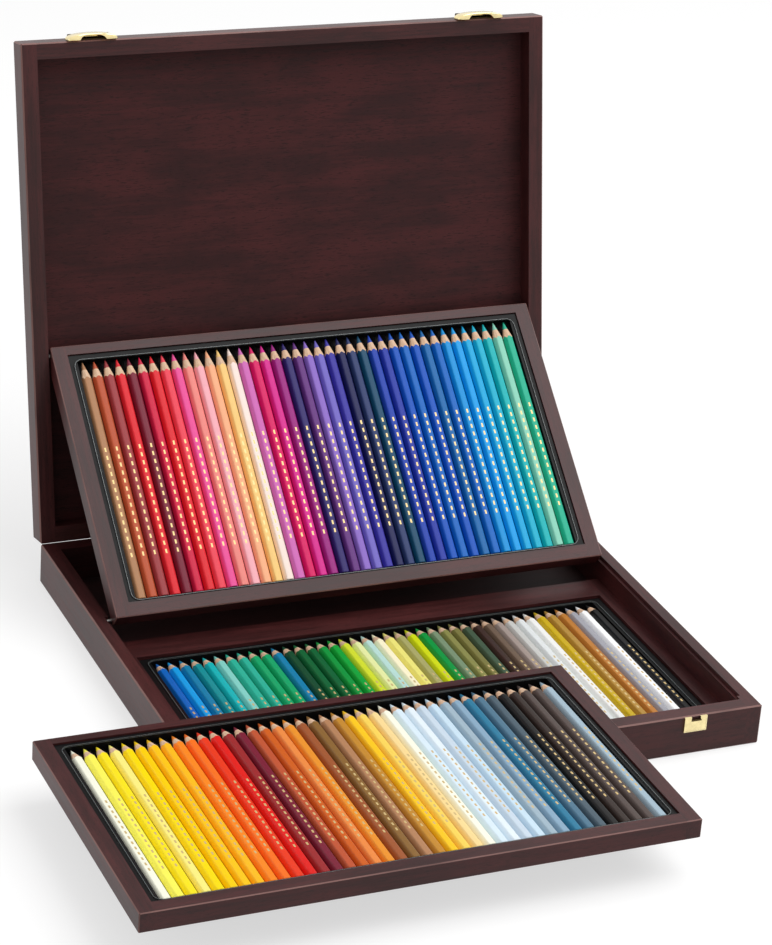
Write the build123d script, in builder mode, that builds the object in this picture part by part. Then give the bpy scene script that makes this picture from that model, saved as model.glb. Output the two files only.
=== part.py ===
from build123d import *
import os
from math import asin, atan2, cos, degrees, hypot, radians, sin, sqrt

# Hinged wooden pencil case: a base, a lid standing open, a tray that leans between the two on
# pins, and a loose tray lying across the base's front rim. Units are millimetres.
# Row frame: X to the right, -Y to the front, +Z up; the origin is the centre of the base's underside.

os.makedirs("parts", exist_ok=True)

# ---- the case -------------------------------------------------------------------------------
CASE_D = 342.0
BASE_H = 28.5
LID_H = 17.0
WALL = 11.0
FLOOR_T = 3.8
PANEL_T = 3.0
EASE = 0.9                  # chamfer on the outer edges of the wood, apart from the hinge line
OPEN_DEG = 101.4            # the lid's angle from closed, as photographed

# ---- the hinges -----------------------------------------------------------------------------
AXIS_OUT = 0.4              # hinge line behind the back of the base
SEAM = 0.1                  # from the hinge line to the back face of the lid
HINGE_FROM_END = 85.5       # a hinge's middle, from the end of the case
HINGE_LEN = 30.0
BARREL_R = 2.0
HINGE_PIN_R = 0.80
PIN_CLEAR = 0.05            # running clearance of every pin in its bore
LEAF_T = 0.9
LEAF_W = 6.4
LEAF_SINK = 0.2             # the leaf lies below the rim's surface
KNUCKLE_HALF = 5.0
GAP = 0.3                   # clearance between parts that pass each other

# ---- the clasps and keepers -----------------------------------------------------------------
CLASP_FROM_END = 49.3       # a clasp's middle, from the end of the case
COVER_W = 34.0
COVER_H = 4.3
COVER_SHEET = 0.8
COVER_LIP = 3.2             # how far the cover reaches past the rim
CLASP_PIN_W = 9.6           # pin's height above the rim
CLASP_PIN_OUT = 1.9
CLASP_PIN_R = 0.7
CLASP_BARREL_R = 1.6
COVER_KNUCKLE = 9.6
CLASP_LEAF_HALF = 14.0
CLASP_LEAF_LOW = 12.0       # the leaf's far edge, from the rim
CLASP_LEAF_HIGH = 2.0
CLASP_WEB_HALF = 1.2        # web between a knuckle and the leaf
COVER_FILLET = 2.2
ARCH_BEVEL = 0.9
ARCH_CLEAR = 0.4            # over the keeper
TONGUE_T = 1.0
KEEPER_BEVEL = 0.8
ARCH_HALF = 8.85
KEEPER_W = 16.2
KEEPER_H = 10.6
KEEPER_T = 2.2
KEEPER_BELOW_RIM = 0.6
NOTCH_HALF = 3.25
NOTCH_DEPTH = 2.0

# ---- the trays ------------------------------------------------------------------------------
TRAY_H = 13.2
SIDE_RAIL = 10.5
FRONT_RAIL = 10.0
BACK_RAIL = 7.0
TRAY_SIDE_GAP = 1.5         # from a tray's side to the case's wall
TRAY_EASE = 0.6
BOARD_T = 3.0
BOARD_LIFT = 2.1            # the tray's board sits above the rails' undersides
CLOSED_Z = 25.75            # underside of the leaning tray with the lid closed
FRONT_TRAY_X = -104.0       # centre of the loose tray
FRONT_TRAY_Y = -307.5       # its front edge

# the leaning tray's pins, measured from the end of the tray and from its underside
TRAY_PIN_END = 3.5
UPPER_PIN_C = 6.6
UPPER_PIN_R = 1.5
UPPER_PIN_V = 130.0         # from the hinge line, along the lid
GUIDE_PIN_C = 1.45
GUIDE_PIN_R = 1.0
PIN_ROOT = 5.0              # length of a pin inside the tray's rail
UPPER_PIN_REACH = 3.4       # length of the pin inside the lid's bore
GUIDE_PIN_REACH = 1.8       # length of the pin over the base's rebate
REBATE_X = 2.3

# ---- the frame in the base ------------------------------------------------------------------
NEST_TOP = 12.4
NEST_SIDE = 10.0
NEST_FRONT = 3.4
NEST_BACK = 23.5

# ---- the pencils and their black inserts ----------------------------------------------------
COUNT = 40
PITCH = 8.07
PENCIL_FLATS = 6.9
PENCIL_L = 176.8
CONE_L = 12.0               # from the point to the middle of a flat
POINT_R = 0.35
SCALLOP_MARGIN = 0.3        # how far the cone's wide end stands outside the corners
TRAY_PENCIL_TOP = 12.7
NEST_PENCIL_TOP = 11.4
PENCIL_LIFT = 0.06          # daylight under a pencil
PENCIL_END_GAP = 0.4
POCKET_SIDE = 0.2           # room beside the outermost pencils
FLANGE_SIDE = 5.9           # from the pocket to the tray's rails
FLANGE_FRONT = 1.8
FLANGE_BACK = 4.6
NEST_FLANGE_FRONT = 2.0     # the same in the base
NEST_FLANGE_BACK = 4.0
SHEET = 0.45
FLANGE_T = 0.7
FLANGE_BELOW = 1.2          # flange below the rails' tops
NEST_FLANGE_BELOW = 2.1
RIDGE_H = 2.4               # ridge between two pencils, above the channels
BEAD_W = 0.9
BEAD_H = 0.6
BEAD_RADIUS = 6.0
BEAD_OUT = 2.9              # from the pocket's edge to the bead, at the sides
BEAD_END_GAP = 0.2          # from the pocket's ends to the bead
FIT = 0.3

# ---- derived --------------------------------------------------------------------------------
ROW_HALF = (COUNT - 1) * PITCH / 2
POCKET_HALF = ROW_HALF + PITCH / 2 + POCKET_SIDE
PENCIL_START = FRONT_RAIL + FLANGE_FRONT + PENCIL_END_GAP       # the flat end, from a tray's front edge
NEST_PENCIL_START = NEST_FRONT + NEST_FLANGE_FRONT + PENCIL_END_GAP
TRAY_W = 2 * (POCKET_HALF + FLANGE_SIDE + SIDE_RAIL)
TRAY_D = PENCIL_START + PENCIL_L + PENCIL_END_GAP + FLANGE_BACK + BACK_RAIL
NEST_DEPTH = NEST_PENCIL_START + PENCIL_L + PENCIL_END_GAP + NEST_FLANGE_BACK + NEST_BACK
INNER_X = TRAY_W / 2 + TRAY_SIDE_GAP
HALF_W = INNER_X + WALL
HALF_D = CASE_D / 2
INNER_Y = HALF_D - WALL
HINGE_X = HALF_W - HINGE_FROM_END
CLASP_X = HALF_W - CLASP_FROM_END
AXIS_Y = HALF_D + AXIS_OUT
OPEN = radians(OPEN_DEG)
LID_FRONT = AXIS_Y + HALF_D             # the lid's front face, from the hinge line
LID_BACK = SEAM
RADIUS = PENCIL_FLATS / sqrt(3)

lid_plane = Plane(origin=(0, AXIS_Y, BASE_H), x_dir=(1, 0, 0), z_dir=(0, -sin(OPEN), -cos(OPEN)))

# The leaning tray rests where its two pins put it: the upper pin is carried by the lid, and the
# lower pin is as high as it is when the case is closed.
pin_w = CLOSED_Z + UPPER_PIN_C - BASE_H
pin_y = AXIS_Y - UPPER_PIN_V * cos(OPEN) + pin_w * sin(OPEN)
pin_z = BASE_H + UPPER_PIN_V * sin(OPEN) + pin_w * cos(OPEN)
guide_z = CLOSED_Z + GUIDE_PIN_C
span_b = TRAY_D - 2 * TRAY_PIN_END
span_c = UPPER_PIN_C - GUIDE_PIN_C
TILT = asin((pin_z - guide_z) / hypot(span_b, span_c)) - atan2(span_c, span_b)
tray_y = pin_y - (TRAY_D - TRAY_PIN_END) * cos(TILT) + UPPER_PIN_C * sin(TILT)
tray_z = pin_z - (TRAY_D - TRAY_PIN_END) * sin(TILT) - UPPER_PIN_C * cos(TILT)
guide_open_y = tray_y + TRAY_PIN_END * cos(TILT) - GUIDE_PIN_C * sin(TILT)
guide_closed_y = AXIS_Y - UPPER_PIN_V - TRAY_D + 2 * TRAY_PIN_END

lean_plane = Plane(origin=(0, tray_y, tray_z), x_dir=(1, 0, 0), z_dir=(0, -sin(TILT), cos(TILT)))
loose_plane = Plane(origin=(FRONT_TRAY_X, FRONT_TRAY_Y, BASE_H), x_dir=(1, 0, 0), z_dir=(0, 0, 1))
nest_plane = Plane(origin=(0, -INNER_Y, 0), x_dir=(1, 0, 0), z_dir=(0, 0, 1))


def slab(x_low, x_high, y_low, y_high):
    """Draw a rectangle on the current sketch, from its two corners."""
    with Locations(((x_low + x_high) / 2, (y_low + y_high) / 2)):
        Rectangle(x_high - x_low, y_high - y_low)


def outer_edges(solid, inner_x):
    """The edges of a side piece that aren't on its inner face."""
    return solid.edges().filter_by(lambda e: abs(abs(e.center().X) - inner_x) > 0.01)


def eased_edges(solid, hinge_y, rim_z):
    """The outer edges of a case side, apart from the one on the hinge line, which stays sharp."""
    edges = outer_edges(solid, INNER_X)
    return edges.filter_by(lambda e: abs(e.center().Y - hinge_y) > 0.01 or abs(e.center().Z - rim_z) > 0.01)


def save(shape, name):
    """Label a finished part and write its STEP file."""
    shape.label = name
    export_step(shape, "parts/" + name + ".step")


def save_at(shape, name, plane):
    """Write a copy of a part that was drawn flat, placed on its own plane."""
    save(shape.moved(plane.location), name)


# ---- base -----------------------------------------------------------------------------------
with BuildPart() as base_floor:
    with BuildSketch(Plane.XY):
        slab(-INNER_X, INNER_X, -INNER_Y, INNER_Y)
    extrude(amount=FLOOR_T)

with BuildPart() as base_side:
    with BuildSketch(Plane.XY):
        slab(INNER_X, HALF_W, -HALF_D, HALF_D)
    extrude(amount=BASE_H)
    chamfer(eased_edges(base_side.part, HALF_D, BASE_H), EASE)
    # open-topped rebate for the leaning tray's guide pin
    with BuildSketch(Plane.XY.offset(guide_z - GUIDE_PIN_R - GAP)):
        slab(INNER_X, INNER_X + REBATE_X, guide_closed_y - 3.0, guide_open_y + 3.0)
    extrude(amount=BASE_H, mode=Mode.SUBTRACT)

with BuildPart() as base_front:
    with BuildSketch(Plane.XY):
        slab(-INNER_X, INNER_X, -HALF_D, -INNER_Y)
    extrude(amount=BASE_H)
    chamfer(base_front.edges().filter_by(Axis.X).group_by(Axis.Y)[0], EASE)

with BuildPart() as base_back:
    with BuildSketch(Plane.XY):
        slab(-INNER_X, INNER_X, INNER_Y, HALF_D)
    extrude(amount=BASE_H)
    chamfer(base_back.edges().filter_by(Axis.X).group_by(Axis.Y)[-1].group_by(Axis.Z)[0], EASE)
    # mortises for the hinge leaves and room for their barrels
    for side in (-1, 1):
        centre = side * HINGE_X
        half = HINGE_LEN / 2 + GAP
        with BuildSketch(Plane.XY.offset(BASE_H - LEAF_SINK - LEAF_T)):
            slab(centre - half, centre + half, AXIS_Y - BARREL_R - LEAF_W, HALF_D + 1.0)
        extrude(amount=BASE_H, mode=Mode.SUBTRACT)
        with BuildSketch(Plane.XY.offset(BASE_H - BARREL_R - GAP)):
            slab(centre - half, centre + half, AXIS_Y - BARREL_R - GAP, HALF_D + 1.0)
        extrude(amount=BASE_H, mode=Mode.SUBTRACT)

save(base_floor.part, "base_floor")
save(base_side.part, "base_right_wall")
save(base_side.part.mirror(Plane.YZ), "base_left_wall")
save(base_front.part, "base_front_wall")
save(base_back.part, "base_back_wall")

# ---- frame that holds the lowest row of pencils ---------------------------------------------
NEST_X = INNER_X - NEST_SIDE
with BuildPart() as nest_side:
    with BuildSketch(Plane.XY.offset(FLOOR_T)):
        slab(NEST_X, INNER_X, 0, NEST_DEPTH)
    extrude(amount=NEST_TOP - FLOOR_T)

with BuildPart() as nest_front:
    with BuildSketch(Plane.XY.offset(FLOOR_T)):
        slab(-NEST_X, NEST_X, 0, NEST_FRONT)
    extrude(amount=NEST_TOP - FLOOR_T)

with BuildPart() as nest_back:
    with BuildSketch(Plane.XY.offset(FLOOR_T)):
        slab(-NEST_X, NEST_X, NEST_DEPTH - NEST_BACK, NEST_DEPTH)
    extrude(amount=NEST_TOP - FLOOR_T)
    chamfer(nest_back.edges().filter_by(Axis.X).group_by(Axis.Y)[-1].group_by(Axis.Z)[-1], TRAY_EASE)

save_at(nest_side.part, "nest_right_rail", nest_plane)
save_at(nest_side.part.mirror(Plane.YZ), "nest_left_rail", nest_plane)
save_at(nest_front.part, "nest_front_rail", nest_plane)
save_at(nest_back.part, "nest_back_rail", nest_plane)

# ---- lid: drawn on the rim plane, Y from the hinge line and -Z into the lid's depth -----------
with BuildPart() as lid_panel:
    with BuildSketch(Plane.XY.offset(-LID_H)):
        slab(-INNER_X, INNER_X, LID_BACK + WALL, LID_FRONT - WALL)
    extrude(amount=PANEL_T)

with BuildPart() as lid_side:
    with BuildSketch(Plane.XY.offset(-LID_H)):
        slab(INNER_X, HALF_W, LID_BACK, LID_FRONT)
    extrude(amount=LID_H)
    chamfer(eased_edges(lid_side.part, LID_BACK, 0), EASE)
    with BuildSketch(Plane.YZ.offset(INNER_X)):
        with Locations((UPPER_PIN_V, -pin_w)):
            Circle(UPPER_PIN_R + PIN_CLEAR)
    extrude(amount=UPPER_PIN_REACH + GAP, mode=Mode.SUBTRACT)

with BuildPart() as lid_front:
    with BuildSketch(Plane.XY.offset(-LID_H)):
        slab(-INNER_X, INNER_X, LID_FRONT - WALL, LID_FRONT)
    extrude(amount=LID_H)
    chamfer(lid_front.edges().filter_by(Axis.X).group_by(Axis.Y)[-1], EASE)

with BuildPart() as lid_back:
    with BuildSketch(Plane.XY.offset(-LID_H)):
        slab(-INNER_X, INNER_X, LID_BACK, LID_BACK + WALL)
    extrude(amount=LID_H)
    chamfer(lid_back.edges().filter_by(Axis.X).group_by(Axis.Y)[0].group_by(Axis.Z)[0], EASE)
    for side in (-1, 1):
        centre = side * HINGE_X
        half = HINGE_LEN / 2 + GAP
        with BuildSketch(Plane.XY.offset(-LEAF_SINK - LEAF_T)):
            slab(centre - half, centre + half, LID_BACK - 1.0, BARREL_R + LEAF_W)
        extrude(amount=LID_H, mode=Mode.SUBTRACT)
        with BuildSketch(Plane.XY.offset(-BARREL_R - GAP)):
            slab(centre - half, centre + half, LID_BACK - 1.0, BARREL_R + GAP)
        extrude(amount=LID_H, mode=Mode.SUBTRACT)

save_at(lid_panel.part, "lid_panel", lid_plane)
save_at(lid_side.part, "lid_right_stile", lid_plane)
save_at(lid_side.part.mirror(Plane.YZ), "lid_left_stile", lid_plane)
save_at(lid_front.part, "lid_front_rail", lid_plane)
save_at(lid_back.part, "lid_back_rail", lid_plane)

# ---- hinges: each drawn about its own barrel's centre ----------------------------------------
hinge_planes = {}
for name, side in (("left", -1), ("right", 1)):
    hinge_planes[name] = (
        Plane(origin=(side * HINGE_X, AXIS_Y, BASE_H), x_dir=(1, 0, 0), z_dir=(0, 0, 1)),
        Plane(origin=(side * HINGE_X, AXIS_Y, BASE_H), x_dir=(1, 0, 0), z_dir=(0, -sin(OPEN), -cos(OPEN))),
    )

with BuildPart() as base_leaf:
    with BuildSketch(Plane.XY.offset(-LEAF_SINK - LEAF_T)):
        slab(-HINGE_LEN / 2, HINGE_LEN / 2, -BARREL_R - LEAF_W + GAP, -BARREL_R - GAP)
        slab(-HINGE_LEN / 2, -KNUCKLE_HALF - GAP, -BARREL_R - GAP, 0)
        slab(KNUCKLE_HALF + GAP, HINGE_LEN / 2, -BARREL_R - GAP, 0)
    extrude(amount=LEAF_T)
    with BuildSketch(Plane.YZ.offset(-HINGE_LEN / 2)):
        Circle(BARREL_R)
    extrude(amount=HINGE_LEN / 2 - KNUCKLE_HALF - GAP)
    with BuildSketch(Plane.YZ.offset(KNUCKLE_HALF + GAP)):
        Circle(BARREL_R)
    extrude(amount=HINGE_LEN / 2 - KNUCKLE_HALF - GAP)
    with BuildSketch(Plane.YZ.offset(-HINGE_LEN / 2)):
        Circle(HINGE_PIN_R + PIN_CLEAR)
    extrude(amount=HINGE_LEN, mode=Mode.SUBTRACT)

with BuildPart() as lid_leaf:
    with BuildSketch(Plane.XY.offset(-LEAF_SINK - LEAF_T)):
        slab(-HINGE_LEN / 2, HINGE_LEN / 2, BARREL_R + GAP, BARREL_R + LEAF_W - GAP)
        slab(-KNUCKLE_HALF, KNUCKLE_HALF, 0, BARREL_R + GAP)
    extrude(amount=LEAF_T)
    with BuildSketch(Plane.YZ.offset(-KNUCKLE_HALF)):
        Circle(BARREL_R)
    extrude(amount=2 * KNUCKLE_HALF)
    with BuildSketch(Plane.YZ.offset(-KNUCKLE_HALF)):
        Circle(HINGE_PIN_R + PIN_CLEAR)
    extrude(amount=2 * KNUCKLE_HALF, mode=Mode.SUBTRACT)

with BuildPart() as hinge_pin:
    with BuildSketch(Plane.YZ.offset(-HINGE_LEN / 2)):
        Circle(HINGE_PIN_R)
    extrude(amount=HINGE_LEN)

for name, (base_side_plane, lid_side_plane) in hinge_planes.items():
    save_at(base_leaf.part, "hinge_" + name + "_base_leaf", base_side_plane)
    save_at(lid_leaf.part, "hinge_" + name + "_lid_leaf", lid_side_plane)
    save_at(hinge_pin.part, "hinge_" + name + "_pin", base_side_plane)

# ---- clasps on the lid's front face: drawn from the rim's front edge, Y outwards --------------
PIN_Y = CLASP_PIN_OUT
PIN_Z = -CLASP_PIN_W
COVER_BACK = PIN_Z + CLASP_BARREL_R + GAP
with BuildPart() as clasp_leaf:
    with BuildSketch(Plane.XZ):
        slab(-CLASP_LEAF_HALF, CLASP_LEAF_HALF, -CLASP_LEAF_LOW, -CLASP_LEAF_HIGH)
    extrude(amount=-COVER_SHEET)
    with BuildSketch(Plane.YZ.offset(-CLASP_LEAF_HALF)):
        with Locations((PIN_Y, PIN_Z)):
            Circle(CLASP_BARREL_R)
    extrude(amount=CLASP_LEAF_HALF - COVER_KNUCKLE - GAP)
    with BuildSketch(Plane.YZ.offset(COVER_KNUCKLE + GAP)):
        with Locations((PIN_Y, PIN_Z)):
            Circle(CLASP_BARREL_R)
    extrude(amount=CLASP_LEAF_HALF - COVER_KNUCKLE - GAP)
    with BuildSketch(Plane.YZ.offset(-CLASP_LEAF_HALF)):
        slab(COVER_SHEET / 4, PIN_Y, PIN_Z - CLASP_WEB_HALF, PIN_Z + CLASP_WEB_HALF)
    extrude(amount=CLASP_LEAF_HALF - COVER_KNUCKLE - GAP)
    with BuildSketch(Plane.YZ.offset(COVER_KNUCKLE + GAP)):
        slab(COVER_SHEET / 4, PIN_Y, PIN_Z - CLASP_WEB_HALF, PIN_Z + CLASP_WEB_HALF)
    extrude(amount=CLASP_LEAF_HALF - COVER_KNUCKLE - GAP)
    with BuildSketch(Plane.YZ.offset(-CLASP_LEAF_HALF - 1.0)):
        with Locations((PIN_Y, PIN_Z)):
            Circle(CLASP_PIN_R + PIN_CLEAR)
    extrude(amount=2 * CLASP_LEAF_HALF + 2.0, mode=Mode.SUBTRACT)
    # the middle of the leaf is cut away behind the cover's knuckle
    with BuildSketch(Plane.XZ.offset(1.0)):
        slab(-COVER_KNUCKLE - GAP, COVER_KNUCKLE + GAP, PIN_Z - CLASP_BARREL_R - 0.5, PIN_Z + CLASP_BARREL_R + 0.5)
    extrude(amount=-3.0, mode=Mode.SUBTRACT)

with BuildPart() as clasp_cover:
    with BuildSketch(Plane.YZ.offset(-COVER_W / 2)):
        slab(GAP, GAP + COVER_H, COVER_BACK, COVER_LIP)
    extrude(amount=COVER_W)
    fillet(clasp_cover.edges().filter_by(Axis.Z).group_by(Axis.Y)[-1], COVER_FILLET)
    with BuildSketch(Plane.YZ.offset(-COVER_W / 2 + COVER_SHEET)):
        slab(0, GAP + COVER_H - COVER_SHEET, COVER_BACK - 1.0, COVER_LIP - COVER_SHEET)
    extrude(amount=COVER_W - 2 * COVER_SHEET, mode=Mode.SUBTRACT)
    # the arch between the two feet, which passes over the keeper
    with BuildSketch(Plane.XY.offset(-3.0)):
        with BuildLine():
            Polyline(
                (-ARCH_HALF, -0.5),
                (-ARCH_HALF, GAP + KEEPER_T + ARCH_CLEAR - 1.3),
                (-ARCH_HALF + ARCH_BEVEL, GAP + KEEPER_T + ARCH_CLEAR),
                (ARCH_HALF - ARCH_BEVEL, GAP + KEEPER_T + ARCH_CLEAR),
                (ARCH_HALF, GAP + KEEPER_T + ARCH_CLEAR - 1.3),
                (ARCH_HALF, -0.5),
                close=True,
            )
        make_face()
    extrude(amount=3.0 + COVER_LIP + 1.0, mode=Mode.SUBTRACT)
    # tongue that drops into the keeper's notch
    with BuildSketch(Plane.XY.offset(COVER_LIP - 1.9)):
        slab(-NOTCH_HALF + GAP, NOTCH_HALF - GAP, 1.2, GAP + COVER_H - COVER_SHEET / 2)
    extrude(amount=TONGUE_T)
    # knuckle and the strip that joins it to the cover
    with BuildSketch(Plane.YZ.offset(-COVER_KNUCKLE)):
        with Locations((PIN_Y, PIN_Z)):
            Circle(CLASP_BARREL_R)
        slab(PIN_Y + CLASP_BARREL_R - COVER_SHEET, GAP + COVER_H - 0.3, PIN_Z, COVER_BACK + 0.5)
    extrude(amount=2 * COVER_KNUCKLE)
    with BuildSketch(Plane.YZ.offset(-COVER_KNUCKLE - 1.0)):
        with Locations((PIN_Y, PIN_Z)):
            Circle(CLASP_PIN_R + PIN_CLEAR)
    extrude(amount=2 * COVER_KNUCKLE + 2.0, mode=Mode.SUBTRACT)

with BuildPart() as clasp_pin:
    with BuildSketch(Plane.YZ.offset(-CLASP_LEAF_HALF)):
        with Locations((PIN_Y, PIN_Z)):
            Circle(CLASP_PIN_R)
    extrude(amount=2 * CLASP_LEAF_HALF)

with BuildPart() as keeper:
    with BuildSketch(Plane.XZ):
        slab(-KEEPER_W / 2, KEEPER_W / 2, -KEEPER_BELOW_RIM - KEEPER_H, -KEEPER_BELOW_RIM)
    extrude(amount=KEEPER_T)
    chamfer(keeper.faces().sort_by(Axis.Y)[0].edges(), KEEPER_BEVEL)
    with BuildSketch(Plane.XZ.offset(-1.0)):
        slab(-NOTCH_HALF, NOTCH_HALF, -KEEPER_BELOW_RIM - NOTCH_DEPTH, 1.0)
    extrude(amount=KEEPER_T + 2.0, mode=Mode.SUBTRACT)

v_dir = (0, -cos(OPEN), sin(OPEN))
for name, side in (("left", -1), ("right", 1)):
    clasp_plane = Plane(
        origin=(side * CLASP_X, AXIS_Y + v_dir[1] * LID_FRONT, BASE_H + v_dir[2] * LID_FRONT),
        x_dir=(1, 0, 0),
        z_dir=lid_plane.z_dir,
    )
    keeper_plane = Plane(origin=(side * CLASP_X, -HALF_D, BASE_H), x_dir=(1, 0, 0), z_dir=(0, 0, 1))
    save_at(clasp_leaf.part, "clasp_" + name + "_leaf", clasp_plane)
    save_at(clasp_cover.part, "clasp_" + name + "_cover", clasp_plane)
    save_at(clasp_pin.part, "clasp_" + name + "_pin", clasp_plane)
    save_at(keeper.part, "keeper_" + name, keeper_plane)

# ---- trays: drawn flat, Y from the front edge, and placed twice ------------------------------
OPEN_X = TRAY_W / 2 - SIDE_RAIL
OPEN_BACK = TRAY_D - BACK_RAIL
with BuildPart() as tray_side:
    with BuildSketch(Plane.XY):
        slab(OPEN_X, TRAY_W / 2, 0, TRAY_D)
    extrude(amount=TRAY_H)
    chamfer(outer_edges(tray_side.part, OPEN_X), TRAY_EASE)

with BuildPart() as tray_front:
    with BuildSketch(Plane.XY):
        slab(-OPEN_X, OPEN_X, 0, FRONT_RAIL)
    extrude(amount=TRAY_H)
    chamfer(tray_front.edges().filter_by(Axis.X).group_by(Axis.Y)[0], TRAY_EASE)

with BuildPart() as tray_back:
    with BuildSketch(Plane.XY):
        slab(-OPEN_X, OPEN_X, OPEN_BACK, TRAY_D)
    extrude(amount=TRAY_H)
    chamfer(tray_back.edges().filter_by(Axis.X).group_by(Axis.Y)[-1], TRAY_EASE)

with BuildPart() as tray_board:
    with BuildSketch(Plane.XY.offset(BOARD_LIFT)):
        slab(-OPEN_X, OPEN_X, FRONT_RAIL, OPEN_BACK)
    extrude(amount=BOARD_T)

# the leaning tray's side rails are bored for its pins
with BuildPart() as lean_side:
    add(tray_side.part)
    with BuildSketch(Plane.YZ.offset(TRAY_W / 2 - PIN_ROOT)):
        with Locations((TRAY_D - TRAY_PIN_END, UPPER_PIN_C)):
            Circle(UPPER_PIN_R + PIN_CLEAR)
    extrude(amount=PIN_ROOT + 1.0, mode=Mode.SUBTRACT)
    with BuildSketch(Plane.YZ.offset(TRAY_W / 2 - PIN_ROOT)):
        with Locations((TRAY_PIN_END, GUIDE_PIN_C)):
            Circle(GUIDE_PIN_R + PIN_CLEAR)
    extrude(amount=PIN_ROOT + 1.0, mode=Mode.SUBTRACT)

with BuildPart() as upper_pin:
    with BuildSketch(Plane.YZ.offset(TRAY_W / 2 - PIN_ROOT)):
        with Locations((TRAY_D - TRAY_PIN_END, UPPER_PIN_C)):
            Circle(UPPER_PIN_R)
    extrude(amount=PIN_ROOT + INNER_X - TRAY_W / 2 + UPPER_PIN_REACH)

with BuildPart() as guide_pin:
    with BuildSketch(Plane.YZ.offset(TRAY_W / 2 - PIN_ROOT)):
        with Locations((TRAY_PIN_END, GUIDE_PIN_C)):
            Circle(GUIDE_PIN_R)
    extrude(amount=PIN_ROOT + INNER_X - TRAY_W / 2 + GUIDE_PIN_REACH)

# ---- one pencil, along +Y from its flat end, a flat uppermost ----------------------------------
# The sharpener's cone is twelve facets: six meet the pencil's flats and six meet its corners, which
# leaves the scalloped edge of the lacquer.
slope = (PENCIL_FLATS / 2 - POINT_R) / CONE_L
cone_start = PENCIL_L - (RADIUS + SCALLOP_MARGIN - POINT_R) / slope
cone_plane = Plane(origin=(0, cone_start, 0), x_dir=(1, 0, 0), z_dir=(0, 1, 0))
with BuildPart() as pencil:
    with BuildSketch(cone_plane):
        RegularPolygon(RADIUS + SCALLOP_MARGIN, 12, major_radius=False, rotation=15)
    extrude(amount=PENCIL_L - cone_start, taper=degrees(atan2(slope, 1)))
    with BuildSketch(cone_plane):
        RegularPolygon(RADIUS, 6)
    extrude(amount=PENCIL_L - cone_start, mode=Mode.INTERSECT)
    with BuildSketch(Plane.XZ):
        RegularPolygon(RADIUS, 6)
    extrude(amount=-cone_start)


def pencil_row(start, top):
    """Forty pencils side by side, the flat ends at start and the upper flats at top."""
    places = []
    for index in range(COUNT):
        places.append(Location((index * PITCH - ROW_HALF, start, top - PENCIL_FLATS / 2)))
    return Compound(children=[pencil.part.moved(place) for place in places])


def insert_shape(half_x, y_low, y_high, start, top, flange_top):
    """A thin black liner: flange, raised bead, pocket walls and a floor with a ridge between pencils."""
    pocket_low = start - PENCIL_END_GAP
    pocket_high = start + PENCIL_L + PENCIL_END_GAP
    valley = top - PENCIL_FLATS - PENCIL_LIFT
    ridge = valley + RIDGE_H
    upper = []
    for index in range(COUNT):
        x = index * PITCH - ROW_HALF
        upper.append((x - PITCH / 2, ridge))
        upper.append((x - RADIUS / 2, valley))
        upper.append((x + RADIUS / 2, valley))
    upper.append((ROW_HALF + PITCH / 2, ridge))
    outline = [(-POCKET_HALF - SHEET, ridge)] + upper + [(POCKET_HALF + SHEET, ridge)]
    lower = [(POCKET_HALF + SHEET, valley - SHEET), (-POCKET_HALF - SHEET, valley - SHEET)]
    with BuildPart() as liner:
        with BuildSketch(Plane.XZ.offset(-pocket_low + SHEET)):
            with BuildLine():
                Polyline(*outline, *lower, close=True)
            make_face()
        extrude(amount=-(pocket_high - pocket_low) - 2 * SHEET)
        # walls round the pocket
        with BuildSketch(Plane.XY.offset(valley - SHEET)):
            slab(-POCKET_HALF - SHEET, POCKET_HALF + SHEET, pocket_low - SHEET, pocket_high + SHEET)
            with Locations((0, (pocket_low + pocket_high) / 2)):
                Rectangle(2 * POCKET_HALF, pocket_high - pocket_low, mode=Mode.SUBTRACT)
        extrude(amount=flange_top - valley + SHEET)
        # flange
        with BuildSketch(Plane.XY.offset(flange_top - FLANGE_T)):
            slab(-half_x + FIT, half_x - FIT, y_low + FIT, y_high - FIT)
            with Locations((0, (pocket_low + pocket_high) / 2)):
                Rectangle(2 * POCKET_HALF, pocket_high - pocket_low, mode=Mode.SUBTRACT)
        extrude(amount=FLANGE_T)
        # raised bead
        with BuildSketch(Plane.XY.offset(flange_top)):
            with Locations((0, (pocket_low + pocket_high) / 2)):
                RectangleRounded(
                    2 * (POCKET_HALF + BEAD_OUT),
                    pocket_high - pocket_low + 2 * (BEAD_W + BEAD_END_GAP),
                    BEAD_RADIUS,
                )
                RectangleRounded(
                    2 * (POCKET_HALF + BEAD_OUT - BEAD_W), pocket_high - pocket_low + 2 * BEAD_END_GAP,
                    BEAD_RADIUS - BEAD_W, mode=Mode.SUBTRACT,
                )
        extrude(amount=BEAD_H)
    return liner.part


tray_pencils = pencil_row(PENCIL_START, TRAY_PENCIL_TOP)
tray_insert = insert_shape(
    OPEN_X, FRONT_RAIL, OPEN_BACK, PENCIL_START, TRAY_PENCIL_TOP, TRAY_H - FLANGE_BELOW
)
nest_pencils = pencil_row(NEST_PENCIL_START, NEST_PENCIL_TOP)
nest_insert = insert_shape(
    NEST_X, NEST_FRONT, NEST_DEPTH - NEST_BACK, NEST_PENCIL_START, NEST_PENCIL_TOP,
    NEST_TOP - NEST_FLANGE_BELOW,
)

for name, plane, side_rail in (
    ("lean_tray", lean_plane, lean_side.part),
    ("loose_tray", loose_plane, tray_side.part),
):
    save_at(side_rail, name + "_right_rail", plane)
    save_at(side_rail.mirror(Plane.YZ), name + "_left_rail", plane)
    save_at(tray_front.part, name + "_front_rail", plane)
    save_at(tray_back.part, name + "_back_rail", plane)
    save_at(tray_board.part, name + "_board", plane)
    save_at(tray_insert, name + "_insert", plane)
    save_at(tray_pencils, name + "_pencils", plane)

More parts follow.
